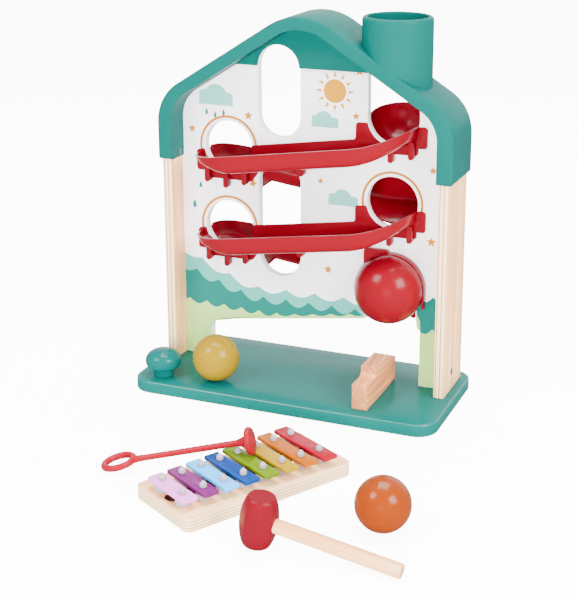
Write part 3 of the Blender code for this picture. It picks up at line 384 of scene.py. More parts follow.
def bore_mesh(spot, inward, depth):
    head, shank = SCREW_HEAD + SCREW_ROOM, SCREW_SHANK + SCREW_ROOM
    neck, mouth = -SCREW_CONE - SCREW_ROOM, 0.003
    profile = [(0, mouth), (head, mouth), (head, 0), (shank, neck), (shank, -depth), (0, -depth)]
    return driven(turned_mesh("bore", profile, 24), spot, inward)


base_paint = film_finish("base_paint", BASE_TEAL, 0.12, depth=0.02, shine=0.05)
base_outline = slab_outline(BASE_LENGTH, BASE_DEPTH, BASE_CORNER)
base_mesh = moved(
    sheet_mesh("base", [base_outline], BASE_THICK, BASE_EASE), Matrix.Translation((0, 0, BASE_THICK / 2)))
base_bores = [bore_mesh((x, y, 0), (0, 0, 1), BASE_BORE) for x, y, length in BASE_SCREWS.values()]
rubbed_paint = film_finish("rubbed_edge_paint", BASE_TEAL, 0.10, depth=0.01, shine=0.42)
finished(worked(base_mesh, base_bores), "base", base_paint, "house", "base_board", edge_finish=rubbed_paint)


# Side posts: two uprights of birch plywood, sawn to shape, sanded and left pale under a matt
# lacquer. Their plies show on the narrow edges, and a screw through each holds the panel.

POST_THICK, POST_DEPTH, POST_HEAD, POST_CORNER, POST_EASE = 0.010, 0.059, 0.248, 0.0008, 0.0005
ON_BASE, POST_PLIES = 0.0123, 5.0
PANEL_FRONT, PANEL_THICK = 0.0158, 0.009
PANEL_SCREW_Z, PANEL_BORE = 0.030, 0.012
BIRCH, BIRCH_DARK = (0.97, 0.63, 0.31, 1.0), (0.80, 0.33, 0.105, 1.0)
PLY_PALE, PLY_DARK = (0.97, 0.69, 0.38, 1.0), (0.34, 0.115, 0.040, 1.0)
END_GRAIN, RING_WAY = (0.36, 0.14, 0.05, 1.0), (0.62, 0.06, 0.78)
FIBRE_STRENGTH, FIBRE_DEPTH, FIBRE_PULL = 0.12, 0.0006, -0.955

grain, grain_in, grain_out = new_group(
    "long_grain",
    [("Along", "NodeSocketVector", (0, 0, 1)), ("Pale", "NodeSocketColor", (1, 1, 1, 1)),
     ("Dark", "NodeSocketColor", (0, 0, 0, 1)), ("Fineness", "NodeSocketFloat", 260.0),
     ("Rings", "NodeSocketFloat", 0.0)],
    [("Colour", "NodeSocketColor"), ("Height", "NodeSocketFloat")])
along, place = grain_in["Along"], node_of(grain, "ShaderNodeTexCoord").outputs
where = place["Object"]
squeeze = maths(grain, "MULTIPLY", lined_up(grain, where, along), FIBRE_PULL)
pulled = node_of(grain, "ShaderNodeVectorMath", [(0, along), ("Scale", squeeze)], operation="SCALE").outputs["Vector"]
drawn = node_of(grain, "ShaderNodeVectorMath", [(0, where), (1, pulled)], operation="ADD").outputs["Vector"]
fibres = noise(grain, drawn, grain_in["Fineness"], 6.0, Roughness=0.62, Distortion=0.35)
bands = noise(grain, drawn, 62.0, 3.0, Distortion=0.8)
mixed = maths(grain, "MULTIPLY_ADD", fibres, 0.55, maths(grain, "MULTIPLY_ADD", bands, 0.55, -0.02))
year_rings = node_of(
    grain, "ShaderNodeTexNoise", [("W", lined_up(grain, where, RING_WAY)), ("Scale", 420.0), ("Detail", 1.5)],
    noise_dimensions="1D")
late_wood = stretched(grain, year_rings.outputs["Fac"], 0.46, 0.64)
ringed = maths(
    grain, "MULTIPLY_ADD", late_wood, grain_in["Rings"], stretched(grain, mixed, 0.40, 0.68), use_clamp=True)
wood_colour = blended(grain, ringed, grain_in["Pale"], grain_in["Dark"])
end_on = maths(grain, "ABSOLUTE", lined_up(grain, place["Normal"], along))
end_share = stretched(grain, end_on, 0.6, 0.9, 0.0, 0.45)
plugged(grain, grain_out, [("Colour", blended(grain, end_share, wood_colour, END_GRAIN)), ("Height", fibres)])

plies, plies_in, plies_out = new_group(
    "ply_edges",
    [("Across", "NodeSocketVector", (1, 0, 0)), ("Start", "NodeSocketFloat", 0.0),
     ("Thick", "NodeSocketFloat", 0.01), ("Layers", "NodeSocketFloat", 7.0)],
    [("Layer", "NodeSocketFloat"), ("Edge", "NodeSocketFloat")])
across, place = plies_in["Across"], node_of(plies, "ShaderNodeTexCoord").outputs
depth_in = maths(plies, "SUBTRACT", lined_up(plies, place["Object"], across), plies_in["Start"])
wavy = maths(plies, "MULTIPLY_ADD", noise(plies, place["Object"], 55.0, 2.0), 0.0005, depth_in)
count = maths(plies, "MULTIPLY", maths(plies, "DIVIDE", wavy, plies_in["Thick"]), plies_in["Layers"])
layer = maths(plies, "PINGPONG", count, 1.0)
facing = maths(plies, "ABSOLUTE", lined_up(plies, place["Normal"], across))
plugged(plies, plies_out, [
    ("Layer", stretched(plies, layer, 0.62, 0.94, curve="SMOOTHSTEP")), ("Edge", stretched(plies, facing, 0.75, 0.35))])


def grain_finish(name, along, pale, dark, gloss, fineness=260.0, rings=0.0):
    """Solid wood under a matt lacquer, its fibres running one way."""
    finish, tree, shader = new_finish(name)
    wood = placed_group(tree, grain, Along=along, Pale=pale, Dark=dark, Fineness=fineness, Rings=rings)
    plugged(tree, shader, [
        ("Base Color", wood["Colour"]), ("Roughness", gloss),
        ("Normal", bumped(tree, wood["Height"], FIBRE_STRENGTH, FIBRE_DEPTH))])
    return finish


def ply_finish(name, along, across, start, thick, layers):
    """Birch plywood: long grain on its faces, alternate pale and dark plies on its edges."""
    finish, tree, shader = new_finish(name)
    face = placed_group(tree, grain, Along=along, Pale=BIRCH, Dark=BIRCH_DARK)
    sawn = placed_group(tree, plies, Across=across, Start=start, Thick=thick, Layers=layers)
    ends = blended(tree, sawn["Layer"], PLY_PALE, PLY_DARK)
    plugged(tree, shader, [
        ("Base Color", blended(tree, sawn["Edge"], face["Colour"], ends)), ("Roughness", 0.52),
        ("Normal", bumped(tree, face["Height"], FIBRE_STRENGTH, FIBRE_DEPTH))])
    return finish


for side_name, side in (("left", -1), ("right", 1)):
    inner = side * POST_ACROSS - POST_THICK / 2
    post_outline = box_outline(
        inner, POST_MIDDLE - POST_DEPTH / 2, inner + POST_THICK, POST_MIDDLE + POST_DEPTH / 2, POST_CORNER)
    post_mesh = moved(
        sheet_mesh(side_name + "_upright", [post_outline], POST_HEAD - ON_BASE, POST_EASE),
        Matrix.Translation((0, 0, (POST_HEAD + ON_BASE) / 2)))
    panel_bore = bore_mesh(
        (side * (POST_ACROSS + POST_THICK / 2), PANEL_FRONT + PANEL_THICK / 2, PANEL_SCREW_Z), (-side, 0, 0),
        PANEL_BORE)
    post_ply = ply_finish(side_name + "_post_ply", (0, 0, 1), (1, 0, 0), inner, POST_THICK, POST_PLIES)
    finished(worked(post_mesh, [panel_bore]), side_name + "_upright", post_ply, "house", side_name + "_post")


# Roof: one teal moulding, a bent band with two legs that slip over the posts, a gable plate
# behind its front edge and a round chimney whose bore lets a ball drop into the run.

ROOF_HALF, ROOF_DEPTH, ROOF_MIDDLE = 0.147, 0.065, 0.0238
ROOF_TOP, EAVES, ROOF_PITCH = 0.362, 0.218, math.radians(32.4)
ROOF_WALL, ROOF_LEG, RIDGE_ROUND, EAVE_ROUND, ROOF_EASE = 0.012, 0.015, 0.057, 0.045, 0.0022
GABLE_FOOT, GABLE_THICK = 0.3115, 0.003
CHIMNEY_X, CHIMNEY_TOP, CHIMNEY_RADIUS, CHIMNEY_BORE = 0.0834, 0.3635, 0.0325, 0.0265
CHIMNEY_LIP, CHIMNEY_LEDGE, LIP_OUTER, LIP_INNER = 0.0275, 0.0070, 0.0032, 0.0016
WINDOW_X, WINDOW_HALF = -0.030, 0.0215
UPPER_WINDOW, LOWER_WINDOW = (0.2435, 0.3324), (0.1055, 0.222)
ROOF_SCREW_Y, ROOF_SCREW_Z, ROOF_BORE = 0.0108, 0.2225, 0.006
PAST, FAR_PAST, CHIMNEY_FOOT, POCKET_CORNER, POCKET_PAST = 0.01, 0.05, 0.003, 0.0003, 0.004
ROOF_FINENESS = math.radians(4)
ROOF_TEAL = (0.0002, 0.080, 0.068, 1.0)
UPRIGHT = Matrix.Rotation(math.radians(90), 4, "X")


def tall_slot(x, half, low, high):
    """Outline of an upright opening with round ends."""
    return box_outline(x - half, low, x + half, high, half)


def upright_sheet(name, outlines, front, back, ease=0.0):
    """A board standing across the house, its outlines drawn in X and Z."""
    mesh = sheet_mesh(name, outlines, back - front, ease)
    return moved(mesh, Matrix.Translation((0, (front + back) / 2, 0)) @ UPRIGHT)


def roof_corners(leg_inset, slope_inset):
    """The (x, z, radius) corners of the bent roof, set in from its outside."""
    half = ROOF_HALF - leg_inset
    sharp = ROOF_TOP + RIDGE_ROUND * (1 / math.cos(ROOF_PITCH) - 1)
    ridge = sharp - slope_inset / math.cos(ROOF_PITCH)
    eave = ridge - half * math.tan(ROOF_PITCH)
    return [(half, eave, EAVE_ROUND - slope_inset), (0, ridge, RIDGE_ROUND - slope_inset),
            (-half, eave, EAVE_ROUND - slope_inset)]


roof_front, roof_back = ROOF_MIDDLE - ROOF_DEPTH / 2, ROOF_MIDDLE + ROOF_DEPTH / 2
leg_inside = ROOF_HALF - ROOF_LEG
band_outline = rounded_outline(
    [(-ROOF_HALF, EAVES, 0), (ROOF_HALF, EAVES, 0)] + roof_corners(0, 0), ROOF_FINENESS)
band_mesh = upright_sheet("roof", [band_outline], roof_front, roof_back, ROOF_EASE)
stack_profile = [(0, CHIMNEY_TOP)]
bore_profile = [(0, CHIMNEY_TOP + PAST), (CHIMNEY_LIP + LIP_INNER, CHIMNEY_TOP + PAST)]
for step in range(9):
    turn = math.radians(11.25 * step)
    over, down = 1 - math.sin(turn), 1 - math.cos(turn)
    stack_profile.append((CHIMNEY_RADIUS - LIP_OUTER * over, CHIMNEY_TOP - LIP_OUTER * down))
    bore_profile.append((CHIMNEY_LIP + LIP_INNER * over, CHIMNEY_TOP - LIP_INNER * down))
stack_profile += [(CHIMNEY_RADIUS, EAVES + CHIMNEY_FOOT), (0, EAVES + CHIMNEY_FOOT)]
to_chimney = Matrix.Translation((CHIMNEY_X, ROOF_MIDDLE, 0))
stack_mesh = moved(turned_mesh("chimney", stack_profile, 96), to_chimney)
void_outline = rounded_outline(
    [(-leg_inside, EAVES - 2 * PAST, 0), (leg_inside, EAVES - 2 * PAST, 0)] + roof_corners(ROOF_LEG, ROOF_WALL),
    ROOF_FINENESS)
void_mesh = upright_sheet("under_roof", [void_outline], roof_front - FAR_PAST, roof_back + FAR_PAST)
gable_ridge = roof_corners(ROOF_LEG, ROOF_WALL / 2)[1]
gable_reach = (gable_ridge[1] - GABLE_FOOT) / math.tan(ROOF_PITCH)
gable_outline = rounded_outline(
    [(-gable_reach, GABLE_FOOT, 0), (gable_reach, GABLE_FOOT, 0), gable_ridge], ROOF_FINENESS)
gable_back = PANEL_FRONT - SCREW_ROOM
gable_mesh = upright_sheet("gable", [gable_outline], gable_back - GABLE_THICK, gable_back)
bore_profile += [
    (CHIMNEY_LIP, CHIMNEY_TOP - CHIMNEY_LEDGE), (CHIMNEY_BORE, CHIMNEY_TOP - CHIMNEY_LEDGE),
    (CHIMNEY_BORE, EAVES + CHIMNEY_BORE), (0, EAVES + CHIMNEY_BORE)]
chimney_bore_mesh = moved(turned_mesh("chimney_bore", bore_profile, 96), to_chimney)
window_outline = tall_slot(WINDOW_X, WINDOW_HALF, *UPPER_WINDOW)
window_mesh = upright_sheet("window", [window_outline], PANEL_FRONT - PAST, PANEL_FRONT + 2 * PAST)
pockets = []
for side in (-1, 1):
    pocket = box_outline(
        side * POST_ACROSS - POST_THICK / 2 - SCREW_ROOM, POST_MIDDLE - POST_DEPTH / 2 - SCREW_ROOM,
        side * POST_ACROSS + POST_THICK / 2 + SCREW_ROOM, POST_MIDDLE + POST_DEPTH / 2 + SCREW_ROOM, POCKET_CORNER)
    pocket_low, pocket_high = EAVES - POCKET_PAST, POST_HEAD + SCREW_ROOM
    pockets.append(moved(
        sheet_mesh("pocket", [pocket], pocket_high - pocket_low),
        Matrix.Translation((0, 0, (pocket_low + pocket_high) / 2))))
    pockets.append(bore_mesh((side * leg_inside, ROOF_SCREW_Y, ROOF_SCREW_Z), (side, 0, 0), ROOF_BORE))
roof_mesh = worked(band_mesh, [stack_mesh], "UNION")
roof_mesh = worked(roof_mesh, [void_mesh])
roof_mesh = worked(roof_mesh, [gable_mesh], "UNION")
roof_mesh = worked(roof_mesh, [chimney_bore_mesh, window_mesh] + pockets)
roof_plastic = film_finish("roof_plastic", ROOF_TEAL, 0.34, shade=0.06, peel=1500.0, depth=0.04, shine=0.05)
finished(roof_mesh, "roof", roof_plastic, "house", "roof_canopy")


# Panel: a white board between the posts, with round holes where the ball passes through, two
# tall windows and a low arch at its foot. The thin print is a generic sea and sky in matt inks.

PANEL_HALF, PANEL_EASE, PANEL_FINENESS = 0.1335, 0.0004, math.radians(5)
HOLE_OUT, HOLE_RADIUS, TOP_HOLE, RUN_DROP = 0.0834, 0.025, 0.2702, 0.0397
HOLES = ((-1, 1), (1, 2), (-1, 3))
ARCH_LEFT, ARCH_RIGHT, ARCH_LEFT_Z, ARCH_RIGHT_Z, ARCH_ROUND = -0.1052, 0.1128, 0.0505, 0.0808, 0.010
PANEL_WHITE = (0.95, 0.90, 0.93, 1.0)
AMBER_INK, TEAL_INK = (0.40, 0.130, 0.001, 1.0), (0.001, 0.140, 0.115, 1.0)
SAGE_INK, MIST_INK = (0.37, 0.62, 0.17, 1.0), (0.080, 0.380, 0.320, 1.0)
SUN_INK, STAR_INK, CLOUD_INK = (0.50, 0.205, 0.002, 1.0), (0.46, 0.160, 0.001, 1.0), (0.15, 0.45, 0.40, 1.0)
INK_THICK, INK_GAP, INK_STEP, INK_INSET, HOLE_INSET, ARCH_INSET = 0.00005, 0.00002, 0.00006, 0.0004, 0.0010, 0.0006
INK_FINENESS = math.radians(40)
SUN_X, SUN_Z, SUN_RADIUS, RAY_FOOT, RAY_TIP, RAY_HALF = 0.026, 0.292, 0.0112, 0.0135, 0.0200, 0.12
RING_OUTSIDE, RING_INSIDE = 0.0303, 0.0279
SHORE, SHORE_RUN, SHORE_CURVE, ARCH_SHOULDER = -0.055, 0.075, 1.2, -0.093
CREST_HEIGHT, CREST_LENGTH, LEAST_WAVE, LEAST_CLOUD = 0.006, 0.016, 0.002, 0.0002
STAR_POINTS, STAR_WAIST, STAR_TIP, DROP_WIDTH, DROP_CURVE = 5, 0.45, 0.06, 0.62, 1.4


def ring_outline(x, y, radius, steps=72):
    turns = [math.tau * step / steps for step in range(steps)]
    return [Vector((x + radius * math.cos(turn), y + radius * math.sin(turn))) for turn in turns]


def hole_height(number):
    """Height of a hole's middle: 0 is the notch under the chimney, and each run drops to the next."""
    return TOP_HOLE - number * RUN_DROP


shoulder = EAVES - SCREW_ROOM
tucked = leg_inside - SCREW_ROOM
panel_outline = rounded_outline(
    [(PANEL_HALF, ON_BASE, 0), (PANEL_HALF, shoulder, 0), (tucked, shoulder, 0)]
    + roof_corners(ROOF_LEG + SCREW_ROOM, ROOF_WALL + SCREW_ROOM)
    + [(-tucked, shoulder, 0), (-PANEL_HALF, shoulder, 0), (-PANEL_HALF, ON_BASE, 0)], PANEL_FINENESS)
lower_outline = tall_slot(WINDOW_X, WINDOW_HALF, *LOWER_WINDOW)
holes = [ring_outline(side * HOLE_OUT, hole_height(number), HOLE_RADIUS) for side, number in HOLES]
panel_back = PANEL_FRONT + PANEL_THICK
panel_mesh = upright_sheet("panel", [panel_outline, window_outline, lower_outline] + holes, PANEL_FRONT, panel_back)
notch_outline = tall_slot(HOLE_OUT, HOLE_RADIUS, hole_height(0) - HOLE_RADIUS, ROOF_TOP)
fall_outline = tall_slot(HOLE_OUT, HOLE_RADIUS, ARCH_LEFT_Z, hole_height(4) + HOLE_RADIUS)
arch_outline = rounded_outline([
    (ARCH_LEFT, 0.0, 0), (ARCH_RIGHT, 0.0, 0), (ARCH_RIGHT, ARCH_RIGHT_Z, ARCH_ROUND),
    (ARCH_LEFT, ARCH_LEFT_Z, ARCH_ROUND)])
openings = [
    upright_sheet("opening", [outline], PANEL_FRONT - PAST, panel_back + PAST)
    for outline in (notch_outline, fall_outline, arch_outline)]
panel_mesh = eased(worked(panel_mesh, openings), width=PANEL_EASE, segments=2, angle=50)
panel_board = film_finish("panel_board", PANEL_WHITE, 0.42, shade=0.02, peel=700.0, depth=0.03)
finished(panel_mesh, "panel", panel_board, "house", "display_panel")


def puffs(circles, foot):
    """A cloud with a flat foot: the upper edge of overlapping circles of (x, z, radius)."""
    low = min(x - math.sqrt(r * r - (foot - z) ** 2) for x, z, r in circles)
    high = max(x + math.sqrt(r * r - (foot - z) ** 2) for x, z, r in circles)
    outline = [Vector((low, foot)), Vector((high, foot))]
    for step in range(1, 60):
        x = high + (low - high) * step / 60
        tops = [z + math.sqrt(r * r - (x - c) ** 2) for c, z, r in circles if abs(x - c) < r]
        outline.append(Vector((x, max(tops + [foot + LEAST_CLOUD]))))
    return outline


def star(x, z, size, turn=90):
    """Outline of a star with soft tips."""
    spokes = []
    for step in range(STAR_POINTS * 2):
        reach = size if step % 2 == 0 else size * STAR_WAIST
        angle = math.radians(turn + 180 * step / STAR_POINTS)
        spokes.append((x + reach * math.cos(angle), z + reach * math.sin(angle), size * STAR_TIP))
    return rounded_outline(spokes, INK_FINENESS)


def drop(x, z, size):
    """Outline of a drop, pointed at its top."""
    outline = []
    for step in range(36):
        turn = math.radians(10 * step)
        aside = size * DROP_WIDTH * math.sin(turn) * math.sin(turn / 2) ** DROP_CURVE
        outline.append(Vector((x + aside, z + size * math.cos(turn))))
    return outline


def swell(x, rest, height, length, shift):
    """Height of a row of scalloped waves at x."""
    return rest + height * (1 - abs(math.sin(math.pi * (x - shift) / length)))


def arch_edge(x):
    """Height at x where the print ends, just above the sloping edge of the arch."""
    return ARCH_LEFT_Z + (ARCH_RIGHT_Z - ARCH_LEFT_Z) * (x - ARCH_LEFT) / (ARCH_RIGHT - ARCH_LEFT) + ARCH_INSET


def sea(rest, height, length, shift, side_rise):
    """A band of scalloped waves above the arch, running down the narrow left side of the panel."""
    right = HOLE_OUT - HOLE_RADIUS - HOLE_INSET
    left = -PANEL_HALF + INK_INSET
    outline = []
    for step in range(121):
        x = left + (right - left) * step / 120
        lift = side_rise * max(0.0, (SHORE - x) / SHORE_RUN) ** SHORE_CURVE
        over_arch = arch_edge(x) + swell(x, LEAST_WAVE, height / 2, length, shift)
        outline.append(Vector((x, max(swell(x, rest, height, length, shift) + lift, over_arch))))
    foot = [(right, arch_edge(right)), (ARCH_SHOULDER, arch_edge(ARCH_SHOULDER)), (-0.0995, 0.0497),
            (-0.1040, 0.0462), (-0.1058, 0.0405), (-0.1058, ON_BASE + INK_INSET), (left, ON_BASE + INK_INSET)]
    return outline + [Vector(point) for point in foot]


def right_bank(top):
    """The waves on the narrow right side of the panel, from their crests down to its foot."""
    left = HOLE_OUT + HOLE_RADIUS + HOLE_INSET
    right = PANEL_HALF - INK_INSET
    edge = [left + (right - left) * step / 20 for step in range(21)]
    crest = [Vector((x, swell(x, top, CREST_HEIGHT, CREST_LENGTH, left))) for x in reversed(edge)]
    foot = [(left, 0.0850), (left + 0.0036, 0.0780), (ARCH_RIGHT + INK_INSET, 0.0700),
            (ARCH_RIGHT + INK_INSET, ON_BASE + INK_INSET), (right, ON_BASE + INK_INSET)]
    return crest + [Vector(point) for point in foot]


def printed(name, outlines, ink, layer=0):
    """A thin film of one ink on the panel's face; a higher layer lies over the lower ones."""
    face = PANEL_FRONT - INK_GAP - layer * INK_STEP
    mesh = upright_sheet(name, outlines, face - INK_THICK, face)
    finish = film_finish(name + "_ink", ink, 0.45, shade=0.05, peel=500.0, depth=0.02)
    finished(mesh, name, finish, "house")


rings = []
for side, number in HOLES:
    rings += [ring_outline(side * HOLE_OUT, hole_height(number), radius) for radius in (RING_OUTSIDE, RING_INSIDE)]
sun = [ring_outline(SUN_X, SUN_Z, SUN_RADIUS, 48)]
for step in range(12):
    ray = math.tau * step / 12
    corners = ((RAY_FOOT, ray - RAY_HALF, 0.0002), (RAY_TIP, ray, 0.0004), (RAY_FOOT, ray + RAY_HALF, 0.0002))
    sun.append(rounded_outline(
        [(SUN_X + reach * math.cos(turn), SUN_Z + reach * math.sin(turn), radius) for reach, turn, radius in corners],
        INK_FINENESS))
printed("print_rings", rings, AMBER_INK)
printed("print_sun", sun, SUN_INK)
printed("print_far_sea", [sea(0.086, 0.0060, 0.030, 0.006, 0.030)], MIST_INK)
printed("print_near_sea", [sea(0.075, 0.0070, 0.024, 0.000, 0.024), right_bank(0.098)], TEAL_INK, 1)
printed("print_foam", [sea(0.062, 0.0050, 0.019, 0.004, 0.004), right_bank(0.066)], SAGE_INK, 2)
clouds = [
    puffs(((-0.108, 0.276, 0.0085), (-0.096, 0.279, 0.0115), (-0.084, 0.275, 0.0080)), 0.270),
    puffs(((0.006, 0.262, 0.0060), (0.015, 0.264, 0.0085), (0.025, 0.261, 0.0062)), 0.257),
    puffs(((0.024, 0.188, 0.0065), (0.034, 0.190, 0.0090), (0.045, 0.187, 0.0062)), 0.183)]
printed("print_clouds", clouds, CLOUD_INK)
drops = [drop(-0.106, 0.2635, 0.0034), drop(-0.097, 0.2610, 0.0034), drop(-0.088, 0.2635, 0.0034),
         drop(-0.121, 0.170, 0.0044), drop(-0.114, 0.190, 0.0036)]
printed("print_drops", drops, TEAL_INK)
stars = [star(-0.062, 0.262, 0.0050), star(0.047, 0.270, 0.0042), star(0.050, 0.312, 0.0050),
         star(-0.058, 0.196, 0.0048, turn=75), star(0.122, 0.157, 0.0052), star(0.012, 0.205, 0.0036),
         star(0.020, 0.118, 0.0048), star(-0.122, 0.245, 0.0046), star(0.122, 0.225, 0.0042)]
printed("print_stars", stars, STAR_INK)


# Ball troughs: four glossy red mouldings. Two hang on the front of the panel and two on its
# back, each with a rear plate, ears beside its holes and short ribs under its ends.

ENTRY_HALF, EXIT_HALF, TROUGH_REACH, TROUGH_END_RUN, TROUGH_WALL = 0.107, 0.112, 0.050, 0.050, 0.002
TROUGH_SLOPE, TROUGH_HANG, TROUGH_HEIGHT, TROUGH_LIP = 0.145, 0.0250, 0.0166, 0.003
ENTRY_BEND, ENTRY_LIFT, ENTRY_RIM_LIFT = 0.055, 5.5, 2.8
EXIT_BEND, EXIT_LIFT, EXIT_RIM_FALL = 0.062, 1.4, 0.6
FLOOR_TILT, FLOOR_SHARE, BILGE_RUN, BILGE_RISE, CURL_RADIUS = 0.004, 0.87, 0.007, 0.006, 0.027
CATCH_RISE, CATCH_LEAN, CATCH_START = 0.036, 0.010, 0.020
SEAT_THICK, EAR_OUT, EAR_WIDTH, EAR_DROP, EAR_BOTTOM, EAR_ROUND = 0.002, 0.1166, 0.011, 0.0052, 0.0255, 0.003
FLANGE_DROP, RIB_WIDTH, RIB_STEP, RIB_REACH = 0.0325, 0.0055, 0.0195, 0.008
SIDE_RIB_DROP, MIDDLE_RIB_DROP, LUG_X, LUG_WIDTH, LUG_DROP, RIB_ROUND = 0.0353, 0.0397, -0.006, 0.008, 0.041, 0.98
BILGE_START, VIEW_DEPTH, VIEW_LOWER = 0.12, 0.0217, 0.004
TROUGH_RED = (0.155, 0.0002, 0.006, 1.0)


def trough_rim(x):
    """Height of the rim, which bends up at the entry and down at the exit."""
    entry, leaving = max(0.0, x - ENTRY_BEND), max(0.0, -x - ENTRY_BEND)
    return TROUGH_HEIGHT - TROUGH_HANG + TROUGH_SLOPE * x + ENTRY_RIM_LIFT * entry ** 2 - EXIT_RIM_FALL * leaving ** 2


def trough_floor(x):
    """Height of the floor at the outer wall; it curls up to the rim at both ends."""
    entry, leaving = max(0.0, x - ENTRY_BEND), max(0.0, -x - EXIT_BEND)
    height = -TROUGH_HANG + TROUGH_SLOPE * x + ENTRY_LIFT * entry ** 2 + EXIT_LIFT * leaving ** 1.5
    return min(height, trough_rim(x) - TROUGH_LIP)


def seat_floor(x):
    """Height of the floor at the panel: low at both holes, and curling up past them."""
    outer = max(-HOLE_OUT, min(HOLE_OUT, x)) / FLOOR_SHARE
    entry = max(0.0, outer - ENTRY_BEND)
    beyond = min(CURL_RADIUS, max(0.0, abs(x) - HOLE_OUT))
    curl = CURL_RADIUS - math.sqrt(CURL_RADIUS ** 2 - beyond ** 2)
    return -TROUGH_HANG + TROUGH_SLOPE * outer + ENTRY_LIFT * entry ** 2 - FLOOR_TILT * abs(outer) / HOLE_OUT + curl


def trough_plan(seat):
    """Plan of the outer wall, from the panel at the entry round to the panel at the exit."""
    reach = TROUGH_REACH + seat
    ends = []
    for half in (ENTRY_HALF, EXIT_HALF):
        straight = half - TROUGH_END_RUN
        turns = [math.radians(4.5 * step) for step in range(21)]
        ends.append([(straight + TROUGH_END_RUN * math.cos(t), seat - reach * math.sin(t)) for t in turns])
    entry, leaving = ends
    start, stop = entry[-1][0], -leaving[-1][0]
    middle = [(start + (stop - start) * step / 24, -TROUGH_REACH) for step in range(1, 24)]
    return entry + middle + [(-x, y) for x, y in reversed(leaving)]


def trough_mesh(name, catch):
    """The shell of a trough: rim, wall, rounded bilge and floor; a back one has a high catch wall."""
    seat = -SCREW_ROOM - SEAT_THICK / 2
    columns = []
    for x, y in trough_plan(seat):
        wall, back = Vector((x, y)), Vector((x * FLOOR_SHARE, seat))
        inward = (back - wall).normalized()
        foot = wall + inward * BILGE_RUN
        closeness = 1 - (seat - y) / (TROUGH_REACH + seat)
        low = seat_floor(back.x)
        floor = trough_floor(x) + (seat_floor(foot.x) - trough_floor(x)) * closeness ** 3
        rim = trough_rim(x)
        bilge = min(BILGE_RISE, (rim - floor) / 2)
        rows = []
        if catch:
            part = min(1.0, max(0.0, (-x - CATCH_START) / (HOLE_OUT - CATCH_START)))
            ease = part * part * (3 - 2 * part)
            lean = inward * CATCH_LEAN * ease * min(1.0, 3 * (1 + x / EXIT_HALF))
            rise = TROUGH_WALL + CATCH_RISE * ease
            rows += [(*(wall + lean * t ** 2.3), rim + rise * t) for t in (1.0, 0.84, 0.67, 0.5, 0.33, 0.16)]
        for share in (0.0, 0.5):
            rows.append((*(wall + inward * BILGE_RUN * BILGE_START * share), rim + (floor + bilge - rim) * share))
        for step in range(7):
            turn = math.radians(15 * step)
            aside = BILGE_RUN * (BILGE_START + (1 - BILGE_START) * (1 - math.cos(turn)))
            rows.append((*(wall + inward * aside), floor + bilge * (1 - math.sin(turn))))
        rows += [(*foot.lerp(back, t), floor + (low - floor) * t) for t in (0.25, 0.5, 0.75, 1.0)]
        columns.append(rows)
    deep = len(columns[0])
    quads = [
        (c * deep + r, (c + 1) * deep + r, (c + 1) * deep + r + 1, c * deep + r + 1)
        for c in range(len(columns) - 1) for r in range(deep - 1)]
    mesh = bpy.data.meshes.new(name)
    mesh.from_pydata([point for rows in columns for point in rows], [], quads)
    holder = holding(mesh)
    shell = holder.modifiers.new("shell", "SOLIDIFY")
    shell.thickness = TROUGH_WALL
    shell.offset = 0.0
    shell.use_even_offset = True
    shell_mesh = baked_mesh(holder)
    shape = bmesh.new()
    shape.from_mesh(shell_mesh)
    return eased(filled_mesh(shell_mesh, shape), width=0.0006, segments=3, angle=55, clamp=True)


def seat_mesh(name):
    """The plate against the panel: rear wall, ears beside the holes and a flange below them."""
    entry, leave = RUN_DROP / 2, -RUN_DROP / 2
    inner, outer = HOLE_OUT - HOLE_RADIUS, HOLE_OUT + HOLE_RADIUS - SCREW_ROOM
    wall = inner - EAR_WIDTH
    outline = rounded_outline([
        (EAR_OUT, entry - EAR_BOTTOM, EAR_ROUND), (EAR_OUT, entry - EAR_DROP, EAR_ROUND),
        (wall, entry - EAR_DROP, EAR_ROUND), (wall, trough_floor(wall) + TROUGH_HEIGHT, EAR_ROUND),
        (-inner, trough_floor(-inner) + TROUGH_HEIGHT, 0), (-EAR_OUT, leave - EAR_DROP, EAR_ROUND),
        (-EAR_OUT, leave - EAR_BOTTOM, EAR_ROUND), (-outer, leave - EAR_BOTTOM, 0),
        (-outer, leave - FLANGE_DROP, EAR_ROUND), (-inner, leave - FLANGE_DROP, EAR_ROUND),
        (-wall, seat_floor(-wall) - TROUGH_WALL, 0), (wall, seat_floor(wall) - TROUGH_WALL, 0),
        (HOLE_OUT - RIB_STEP / 2, entry - FLANGE_DROP, EAR_ROUND), (outer, entry - FLANGE_DROP, EAR_ROUND),
        (outer, entry - EAR_BOTTOM, 0)], math.radians(12))
    plate = upright_sheet(name, [outline], -SCREW_ROOM - SEAT_THICK, -SCREW_ROOM)
    rounds = [
        upright_sheet("round", [ring_outline(x, z, HOLE_RADIUS + SCREW_ROOM)], -2 * PAST, 2 * PAST)
        for x, z in ((HOLE_OUT, entry), (-HOLE_OUT, leave))]
    return eased(worked(plate, rounds), width=0.0005, segments=2, angle=50)


